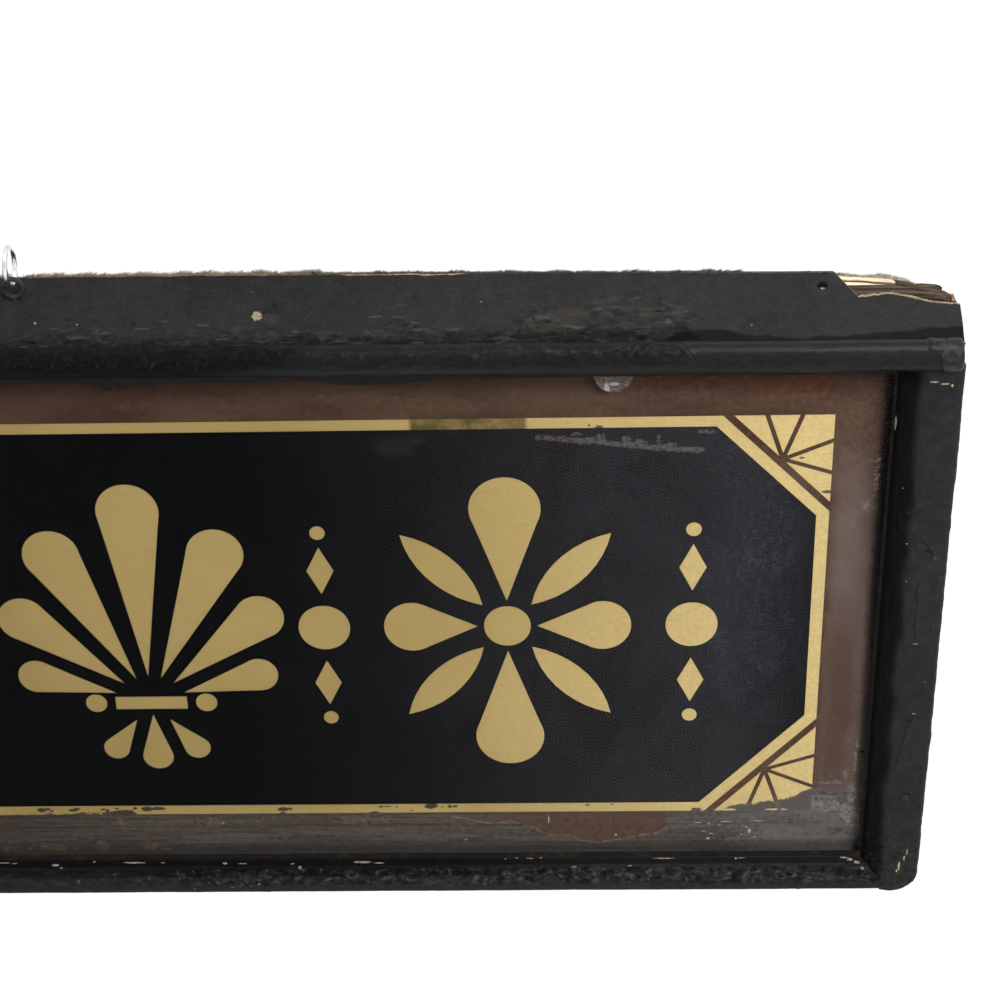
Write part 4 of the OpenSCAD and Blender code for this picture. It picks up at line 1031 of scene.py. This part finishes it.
def make_lath(name, node, low, high, seed, ragged, drops):
    """A lath under the weather board, ragged and layered where the hood has broken off it."""
    x = stations((low[0], 820, 8.0), (820, high[0] - 6, 0.8), (high[0] - 6, high[0], 0.5))
    front, back, base = low[1], high[1], low[2]
    drop = BOARD_THICK / math.cos(BOARD_ANGLE) + 0.05
    outline = np.concatenate([
        line((front, base), (back, base), 3),
        line((back, base), (back, hood_top(back) - drop), 1.2),
        line((back, hood_top(back) - drop), (front, hood_top(front) - drop), 0.6),
        line((front, hood_top(front) - drop), (front, base), 0.7),
    ])
    normals = outward(outline)
    xs = np.repeat(x[:, None], len(outline), 1)
    y, z = outline[None, :, 0], outline[None, :, 1]
    bare = step(xs, 844, 852)
    split = layers(xs / 40, (z + y) / 1.8 + 0 * xs, seed, 3)
    seams = 1 - step(np.abs(y - (front + 4.6) + 0.8 * bumps(xs / 14, y * 0, seed + 8)), 0.3, 1.1)
    h = -bare * (0.1 + ragged * np.abs(split) + 1.6 * seams)
    end = np.clip((xs - (high[0] - 5)) / 5, 0, 1)
    h = h - 2.4 * (1 - np.sqrt(1 - 0.97 * end**2))
    upper = step(z, base + 0.6, base + 2.6)
    y = y + normals[None, :, 0] * h * upper
    z = z + normals[None, :, 1] * h * upper
    lowered = np.interp(xs, *zip(*drops)) * bare + fall(xs, 0.75) * (1 - bare)
    z = z - lowered * upper * np.clip((z - base) / 6, 0, 1)
    patch = layers(xs / 12, y / 2.5, seed + 5, 3)
    fresh = bare * step(0.35 * patch + (1 - step(xs, 874, 884)) * step(y, back - 8, back - 4), 0.35, 0.6)
    # The splits between layers are painted dark: painted shade
    piece = make_piece(name, np.stack([xs, y, z], -1), ring_faces(*xs.shape),
                       {"fresh": fresh * (node == "hood_lath_back"), "painted_shade": seams * bare})
    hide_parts(node)
    return dress(piece, torn_wood)


def make_fray():
    """Splinters and lint that stand up along the crest and over the broken corner."""
    rng = np.random.default_rng(61)
    count = 12000
    last_x = 893
    x = rng.uniform(-HALF + 3, last_x, count)
    near = rng.uniform(0, 1, count) < 0.6
    x = np.where(near, rng.uniform(360, last_x, count), x)
    broken = x > BROKEN_X
    lost = np.interp(x, *zip(*BACK_DROP)) * broken + fall(x, 1.0) * ~broken
    y = rng.uniform(-1.2, -0.3, count)
    under = np.where(broken, BOARD_THICK / math.cos(BOARD_ANGLE), 0.1)
    z = hood_top(y) - under - lost
    clumps = np.clip(0.75 + 0.7 * layers(x / 14, x * 0, 63, 4), 0.25, 1.6)
    clumps = clumps * np.where((x > 795) & (x < BROKEN_X), 0.3, 1.0)
    dense = np.clip(1.7 * clumps, 1.0, 1.9)
    sparse = np.clip(clumps, np.where(x < 795, 0.7, 0.1), 1.6)
    clumps = np.where(x < 560, dense, sparse)
    length = np.clip(rng.uniform(0.9, 2.8, count) * clumps, 0.4, 4.2)
    lean = rng.normal(0.35, 0.75, count) * length
    depth = np.minimum(rng.uniform(-0.5, 0.5, count), -0.05 - y)
    roots = np.stack([x, y, z], -1)
    tips = roots + np.stack([lean, depth, length], -1)
    tips[:, 0] = np.minimum(tips[:, 0], HALF - 4)
    thick = rng.uniform(0.14, 0.4, count)
    # No splinters where the rings lie back over the crest at the end of their swing
    clear = np.abs(np.abs(x) - RING_X) > RING_HALF + 1.0 + np.abs(lean)
    piece = spikes("crest_fray", roots[clear], tips[clear], thick[clear])
    return dress(piece, lint)


# Front frame

def frame_outline(width):
    """Section of a stile or the rail from its outer edge: u across the face, v the depth."""
    arris = 3
    face_end = width - BEVEL
    outline = np.concatenate([
        line((0, GLASS), (0, FACE + arris), 1.2),
        arc((arris, FACE + arris), arris, 180, 270, 0.6),
        line((arris, FACE), (face_end, FACE), 0.9),
        line((face_end, FACE), (width, GLASS - 2), 0.8),
        line((width, GLASS - 2), (width, GLASS), 1.0),
        line((width, GLASS), (0, GLASS), 5),
    ])
    near = zone(np.hypot(outline[:, 0] - face_end, outline[:, 1] - FACE), 0, 5, 2)
    return softened(outline, 30, near)


# Lifted plates of paint on the rail: X, height, half sizes
RAIL_PLATES = [(444, 12, 4, 3.4), (470, 10.5, 9, 3.2), (488, 9.5, 8, 3.6), (505, 12, 8, 3), (524, 12.5, 5, 3),
               (545, 11, 7, 2.6), (560, 11, 8, 3), (578, 12, 7, 2.6), (600, 11, 8, 4), (618, 10.5, 9, 4.6),
               (640, 9, 8, 3), (660, 11, 9, 3), (684, 10, 9, 3.2), (706, 10.6, 9, 3.4), (730, 10, 9, 3),
               (748, 11, 8, 3.6), (770, 10.2, 9, 3), (792, 10.6, 8, 3.4), (812, 10, 8, 3), (832, 10.6, 8, 3),
               (850, 10, 7, 2.6), (400, 11, 9, 2.6), (378, 10, 9, 2.6), (425, 9.6, 8, 2.8)]


def rail_relief(x, u):
    """The rail's paint, crumpled on its bevel and smooth below: height, shadows and lumpiness."""
    band = step(u, 4.5, 7.5) * (1 - step(u, 14.0, 15.6)) * (0.35 + 0.65 * step(x, 400, 470))
    bent_u = u + 1.2 * layers(x / 16, u / 9, 71, 3)
    knots = layers(x / 5.5, bent_u / 3.4, 74, 4)
    ridged = (1 - np.abs(layers(x / 9, bent_u / 4.5, 79, 3))) ** 3
    plates = lumps(x, u, RAIL_PLATES, 83)
    tall = step(plates, 0.0, 0.35)
    low = 0.08 * layers(x / 6, u / 5, 86, 2) + 0.2 * layers(x / 60, u / 20, 81, 3)
    h = low + band * (0.6 * knots + 0.5 * ridged) + tall * (0.6 + 0.3 * knots) * (1 - step(u, 15, 16.4))
    shadow = band * 0.75 * (plates < 0.02) * step(-knots, -0.2, 0.5)
    return h, np.maximum(shadow, 0.9 * step(u, 15.2, 16.4)), band


def make_bottom_rail():
    outline = frame_outline(SIGHT_BOTTOM)
    normals = outward(outline)
    u, v = outline[:, 0], outline[:, 1]
    x_end = SIGHT_HALF + BEVEL - np.clip(u - (SIGHT_BOTTOM - BEVEL), 0, None)
    f = stations((0, 0.68, 1 / 560), (0.68, 1, 1 / 2500))
    xs = (f[:, None] * 2 - 1) * x_end[None, :]
    us = np.repeat(u[None, :], len(f), 0)
    front = step(-v, -GLASS + 1.0, -GLASS + 3.0)
    h, painted_shade, band = rail_relief(xs, us)
    h = h * front
    proud = above_around(h, 4, 2)
    y = v[None, :] + normals[None, :, 1] * h
    z = np.maximum(us + normals[None, :, 0] * h, 0.0)
    # Hollows painted dark and ridges painted light, painted shade and painted highlight; the bevel is darker
    # too, soot and painted shade
    painted_shade = np.maximum(painted_shade, 0.9 * step(-proud, 0.08, 0.5)) * front
    crest = 0.9 * step(proud, 0.12, 0.55) * front
    soot_and_shade = 0.7 * step(us, 8.5, 12.5) * (1 - 0.6 * step(xs, 600, 760))
    marks = {"painted_shade": painted_shade, "crest": crest, "dull": soot_and_shade, "knots": 0.2 + 0.8 * band}
    piece = make_piece("bottom_rail_worn", np.stack([xs, y, z], -1), ring_faces(*xs.shape), marks)
    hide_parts("bottom_rail")
    return dress(piece, rail_paint)


# On the right stile: raised nail heads (X, Z), and swellings with their half sizes
STILE_NAILS = [(902.4, 74.1), (902.2, 247.8)]
STILE_BUMPS = [(891.5, 62.6, 1.4, 1.6), (891.4, 54.8, 1.4, 1.8), (913.6, 147, 1.6, 4), (913.6, 118, 1.6, 5),
               (913.6, 87, 1.6, 3), (906, 254, 3, 5), (907, 246, 2.4, 2.4), (890, 276, 2, 3),
               (900, 20, 4, 7), (908, 30, 3, 5), (897, 36, 5, 4), (910, 200, 2, 6), (911, 232, 2, 5)]


def stile_relief(x, z):
    """Paint on a stile: nearly smooth, with swellings, a few flakes and two raised nail heads."""
    swell = 0.2 * layers(x / 40, z / 70, 91, 3)
    small = 0.05 * layers(x / 3, z / 4, 96, 2) + 0.09 * layers(x / 9, z / 12, 99, 3)
    low = (1 - step(z, 30, 60)) * 0.3 * layers(x / 7, z / 10, 97, 3)
    side = 0.35 * step(x, 908, 914) * layers(x / 30, z / 12, 101, 3)
    mounds = 0.5 * lumps(x, z, STILE_BUMPS, 105)
    flake = zone(line_distance(x, z, STILE_CRACKS[0]), 0.2, 2.2, 1.2) * (x > 895)
    h = swell + small + low + side + mounds + 0.25 * flake
    shadow = np.zeros(x.shape)
    for nx, nz in STILE_NAILS:
        away = np.hypot(x - nx, z - nz)
        h = h + 0.8 * (1 - step(away, 1.4, 3.6))
        crescent = zone(away, 2.7, 3.2, 0.4) * (x > nx - 1.5) * (z > nz - 2)
        shadow = np.maximum(shadow, 0.8 * crescent)
    h = h + 0.9 * (1 - step(np.hypot(x - 902.2, (z - 340) * 0.6), 2, 7))
    return h, shadow


def make_stile(side):
    outline = frame_outline(HALF - SIGHT_HALF)
    normals = outward(outline)
    u, v = outline[:, 0], outline[:, 1]
    x = HALF - u
    inner = np.clip(SIGHT_HALF + BEVEL - x, 0, None)
    z_low = inner + (SIGHT_BOTTOM - BEVEL) * step(inner, 0.0, 0.8)
    f = stations((0, 1, 1 / 620))
    zs = z_low[None, :] + (SIGHT_TOP - z_low)[None, :] * f[:, None]
    xs = np.repeat(x[None, :], len(f), 0)
    front = step(-v, -GLASS + 1.0, -GLASS + 4.0)
    h, shadow = stile_relief(xs, zs if side > 0 else SIGHT_TOP - zs)
    h = h * front
    proud = above_around(h, 3, 2)
    y = v[None, :] + normals[None, :, 1] * h
    px = xs - normals[None, :, 0] * h
    corner = 16.0
    reach = np.clip(corner - zs, 0, corner)
    limit = HALF - corner + np.sqrt(np.clip(corner**2 - reach**2, 0, None))
    worn = HALF - corner + (px - HALF + corner) * (limit - HALF + corner) / corner
    px = np.where((zs < corner) & (px > limit), worn, px)
    y = y + 0.8 * step(reach / corner, 0.5, 1.0) * step(xs, HALF - 12, HALF) * front
    # The inner edge by the glass and the top under the nosing are painted dark: painted shade
    inner_edge_shade = step(-xs, -(SIGHT_HALF + 4.0), -(SIGHT_HALF + 1.0))
    top_shade = step(zs, 350, 364) * (1 - step(xs, SIGHT_HALF + 8, SIGHT_HALF + 18))
    edge_shade = np.maximum(0.9 * inner_edge_shade, top_shade)
    painted_shade = np.maximum(np.maximum(shadow, 0.7 * step(-proud, 0.06, 0.3)), edge_shade)
    # Ridges painted light: painted highlight
    crest = 0.6 * step(proud, 0.06, 0.3)
    # The bevel is darker: soot and painted shade
    soot_and_shade_end = SIGHT_HALF + BEVEL + 3 + 2.5 * layers(zs / 30, xs / 30, 107, 3)
    soot_and_shade = 1 - step(xs, soot_and_shade_end - 9, soot_and_shade_end + 2)
    marks = {"painted_shade": painted_shade, "crest": crest, "dull": soot_and_shade, "knots": 0.1 + 0.5 * (1 - step(zs, 30, 55))}
    name = "stile_right_worn" if side > 0 else "stile_left_worn"
    piece = make_piece(name, np.stack([px * side, y, zs], -1), ring_faces(*xs.shape), marks)
    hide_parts("stile_right" if side > 0 else "stile_left")
    return dress(piece, stile_paint)


def make_fillet(name, start, end, inward, widths, material, seed, blobs=()):
    """A thin run of putty or paint on the glass along the frame, with a ragged inner edge."""
    start, end, inward = (np.array(p, float) for p in (start, end, inward))
    length = np.linalg.norm(end - start)
    t = stations((0, length, 1.3))
    base = start + (end - start) * (t / length)[:, None]
    width = widths[0] + widths[1] * layers(t / 7, t * 0, seed, 4)
    for where, half, deep in blobs:
        width = np.maximum(width, deep * np.sqrt(np.clip(1 - ((t - where) / half) ** 2, 0, None)))
    width = np.clip(width, 0.05, None)[:, None]
    thick = np.clip(1.5 + 0.5 * layers(t / 11, t * 0, seed + 5, 3), 0.5, 1.9)[:, None]

    def at(fraction, raised):
        flat = base + inward * width * fraction
        return np.concatenate([flat[:, :1], GLASS - raised * thick - 0.02, flat[:, 1:]], 1)

    rings = np.stack([at(-0.2, 0), at(0, 1.0), at(0.35, 0.75), at(0.75, 0.45), at(1.0, 0.1), at(0.97, 0)], 1)
    piece = make_piece(name, rings, ring_faces(len(t), 6))
    return dress(piece, material)


# Black paint run down on the glass from the nosing: blobs at (X, half width, depth)
DRIPS = [(440, 6, 14.4), (451, 2.6, 14.6), (462.5, 7.5, 12.0), (590, 60, 12.0), (803, 5, 9.4), (822, 4, 9.4),
         (846, 4, 9.6), (868, 7, 10.2)]


def make_glass_bruise():
    """A shell-shaped bruise at the top edge of the glass, with ripples, as a thin skin on its face."""
    centre_x, top, half, deep = 721.5, 361.5, 11.5, 12.5
    across, down = np.meshgrid(np.linspace(-1, 1, 46), np.linspace(0, 1, 26), indexing="ij")
    shape = np.sqrt(np.clip(1 - across**2, 0, None))
    x = centre_x + half * across + 1.2 * down
    z = top - deep * down * shape * (1 + 0.08 * bumps(across * 6, across * 0, 103))
    reach = np.hypot(across * half, down * deep * shape)
    lift = 0.12 + 0.10 * np.sin(reach * 2.1 + layers(x / 4, z / 4, 104, 2)) * (1 - down)
    front = np.stack([x, GLASS - lift, z], -1)
    back = np.stack([x, np.full(x.shape, GLASS - 0.01), z], -1)
    rings = np.concatenate([front, back[:, ::-1]], 1)
    piece = make_piece("glass_bruise", rings, ring_faces(*rings.shape[:2]))
    return dress(piece, bruise)


def make_nail_domes(name, node, places, radius, height, material):
    """Nail heads under thick paint: low round swellings at places (x, y, z, tilt in degrees)."""
    rings, turns = 5, 20
    points, faces = [], []
    for px, py, pz, tilt in places:
        start = len(points)
        c, s = math.cos(math.radians(tilt)), math.sin(math.radians(tilt))
        for k in range(rings):
            r = radius * (1 - k / rings)
            h = height * math.sin(math.pi / 2 * k / rings) - (0.5 if k == 0 else 0.0)
            for j in range(turns):
                u, w = r * math.cos(2 * math.pi * j / turns), r * math.sin(2 * math.pi * j / turns)
                points.append((px + u, py + w * c - h * s, pz + w * s + h * c))
        count = len(points) - start
        top = len(points)
        points.append((px, py - height * s, pz + height * c))
        for k in range(rings - 1):
            for j in range(turns):
                here, side = start + k * turns + j, start + k * turns + (j + 1) % turns
                faces.append((here, side, side + turns, here + turns))
        last = start + count - turns
        faces += [(last + j, last + (j + 1) % turns, top) for j in range(turns)]
        faces.append(tuple(start + j for j in range(turns))[::-1])
    piece = make_piece(name, points, faces)
    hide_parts(node)
    return dress(piece, material)


make_weather_board()
make_nosing()
make_lath("hood_lath_front_torn", "hood_lath_front", lath_low, lath_high, 51, 0.5, FRONT_DROP)
make_lath("hood_lath_back_torn", "hood_lath_back", back_lath_low, back_lath_high, 56, 0.9, BACK_DROP)
make_fray()
make_bottom_rail()
make_stile(1)
make_stile(-1)
make_glass_bruise()
low_left, low_right = (-SIGHT_HALF, SIGHT_BOTTOM), (SIGHT_HALF, SIGHT_BOTTOM)
top_left, top_right = (-SIGHT_HALF, SIGHT_TOP), (SIGHT_HALF, SIGHT_TOP)
make_fillet("putty_below", low_left, low_right, (0, 1), (3.0, 0.25), putty, 111)
make_fillet("putty_right", low_right, top_right, (-1, 0), (1.6, 0.6), putty, 121)
make_fillet("putty_left", low_left, top_left, (1, 0), (1.6, 0.6), putty, 131)
# Black paint run down the glass under the nosing, with its drips; its dark band just below the nosing also
# stands for the nosing's shadow on the glass, painted shadow
blobs = [(x + SIGHT_HALF, half, deep) for x, half, deep in DRIPS]
make_fillet("paint_run_and_shadow_above", top_left, top_right, (0, -1), (9.3, 0.3), run_paint, 141, blobs)
nails = [(x, y, hood_top(y) - fall(x, 1 - y / BOARD_FRONT), 30)
         for x in NAIL_X for y in NAIL_Y if (x, y) != LOST_NAIL]
make_nail_domes("hood_nails_painted", "hood_nails", nails, radius=3.2, height=0.45, material=hood_paint)


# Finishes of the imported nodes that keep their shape

NODE_FINISH = {
    glass: ["glass_pane"],
    leaf: ["gold_border", "gold_corner_fans", "gold_palmettes", "gold_rosettes", "gold_spacers"],
    ground: ["black_ground"],
    margin: ["brown_margin"],
    plain_paint: ["box_end_left", "box_end_right", "stile_nails"],
    rail_paint: ["rail_nails"],
    raw_boards: ["box_top", "box_bottom", "bead_top", "bead_bottom", "setting_blocks", "corner_blocks",
                 "back_board_top", "back_board_middle", "back_board_bottom"],
    raw_uprights: ["bead_left", "bead_right", "ledge_left", "ledge_middle", "ledge_right"],
    iron: ["hanging_eye_left", "hanging_eye_right"],
    steel: ["bead_pins", "hanging_ring_left", "hanging_ring_right"],
    brass: ["back_screws"],
}
for material, nodes in NODE_FINISH.items():
    for node in nodes:
        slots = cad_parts[node].data.materials
        slots.clear()
        slots.append(material)


# Camera, floor and light

CAMERA_PLACE = (692.7, -1088.6, 881.3)
CAMERA_YAW = 1.91
CAMERA_PITCH = 29.85
CAMERA_ROLL = -1.57
LENS = 75.6
SENSOR = 36

# The floor reaches this far each way. Most of what shows is white, which brightens between two distances
FLOOR_REACH = 6.0
WHITE_FROM, WHITE_TO = 1.5, 3.5
NEAR_WHITE, FAR_WHITE = 1.15, 1.26
WHITE_SHARE = 0.8
# How bright the world is as a light, and how bright it shows
WORLD_LIGHT, WORLD_SHOWN = 0.12, 1.0
# Name, place, target, size, watts, and whether mirrors show it
LAMPS = [
    ("key", (1.35, -0.95, 0.85), (0.75, 0, 0), (0.5, 0.5), 17, False),
    ("glint", (1.18, -0.47, 1.5), (0.85, 0, 0.2), (0.25, 0.15), 6.5, True),
    ("top", (0.4, -0.35, 1.9), (0.3, 0, 0), (2.4, 0.5), 12.5, True),
    ("back", (-0.2, 1.7, 0.9), (0, 0, 0), (2.2, 1.0), 24, False),
]


def in_frame(x, y, z):
    return Vector((x * MM, y * MM, GROUND + z * MM))


def make_camera():
    data = bpy.data.cameras.new("camera")
    data.sensor_width = SENSOR
    data.lens = LENS
    data.clip_start, data.clip_end = 0.05, 50
    camera = bpy.data.objects.new("camera", data)
    bpy.context.scene.collection.objects.link(camera)
    turn = (Matrix.Rotation(math.radians(CAMERA_YAW), 4, "Z")
            @ Matrix.Rotation(math.radians(90 - CAMERA_PITCH), 4, "X")
            @ Matrix.Rotation(math.radians(CAMERA_ROLL), 4, "Z"))
    camera.matrix_world = Matrix.Translation(in_frame(*CAMERA_PLACE)) @ turn
    bpy.context.scene.camera = camera


def make_lamp(name, place, target, size, watts, mirrored):
    data = bpy.data.lights.new(name, "AREA")
    data.shape = "RECTANGLE"
    data.size, data.size_y = size
    data.energy = watts
    lamp = bpy.data.objects.new(name, data)
    bpy.context.scene.collection.objects.link(lamp)
    lamp.visible_glossy = mirrored
    lamp.location = Vector(place)
    lamp.rotation_euler = (Vector(place) - Vector(target)).to_track_quat("Z", "Y").to_euler()


def shown_rays(nodes, links):
    """1 for rays that reach the eye straight, through glass or by a mirror."""
    path = nodes.new("ShaderNodeLightPath")
    total = path.outputs["Is Camera Ray"]
    for kind in ("Is Glossy Ray", "Is Transmission Ray"):
        add = nodes.new("ShaderNodeMath")
        add.operation = "ADD"
        add.use_clamp = True
        links.new(total, add.inputs[0])
        links.new(path.outputs[kind], add.inputs[1])
        total = add.outputs[0]
    return total


def make_floor():
    f = Finish("pale_floor")
    shown = shown_rays(f.nodes, f.links)
    tint = f.noise((400, 400, 400), detail=2)
    colour = f.mix(f.ramp(tint, 0.3, 0.7), grey(232), grey(238))
    matte = f.node("BsdfDiffuse", {"Color": colour}).outputs[0]
    away = f.node("VectorMath", {0: f.place}, operation="LENGTH").outputs["Value"]
    strength = f.ramp(away, WHITE_FROM, WHITE_TO, NEAR_WHITE, FAR_WHITE)
    white = f.node("Emission", {"Color": (1, 1, 1, 1), "Strength": strength}).outputs[0]
    amount = f.times(shown, WHITE_SHARE)
    material = f.finish(f.node("MixShader", {0: amount, 1: matte, 2: white}).outputs[0])
    mesh = bpy.data.meshes.new("floor")
    side = FLOOR_REACH
    corners = [(-side, -side), (side, -side), (side, side), (-side, side)]
    mesh.from_pydata([(x, y, GROUND) for x, y in corners], [], [(0, 1, 2, 3)])
    mesh.materials.append(material)
    floor = bpy.data.objects.new("floor", mesh)
    bpy.context.scene.collection.objects.link(floor)


def make_world():
    world = bpy.data.worlds.new("studio")
    bpy.context.scene.world = world
    world.use_nodes = True
    nodes, links = world.node_tree.nodes, world.node_tree.links
    nodes.clear()
    shown = shown_rays(nodes, links)
    strength = nodes.new("ShaderNodeMapRange")
    strength.inputs["To Min"].default_value = WORLD_LIGHT
    strength.inputs["To Max"].default_value = WORLD_SHOWN
    links.new(shown, strength.inputs["Value"])
    back = nodes.new("ShaderNodeBackground")
    back.inputs["Color"].default_value = (1, 1, 1, 1)
    links.new(strength.outputs["Result"], back.inputs["Strength"])
    output = nodes.new("ShaderNodeOutputWorld")
    links.new(back.outputs[0], output.inputs["Surface"])


make_camera()
make_floor()
make_world()
for lamp in LAMPS:
    make_lamp(*lamp)
bpy.context.scene.view_settings.view_transform = "Standard"
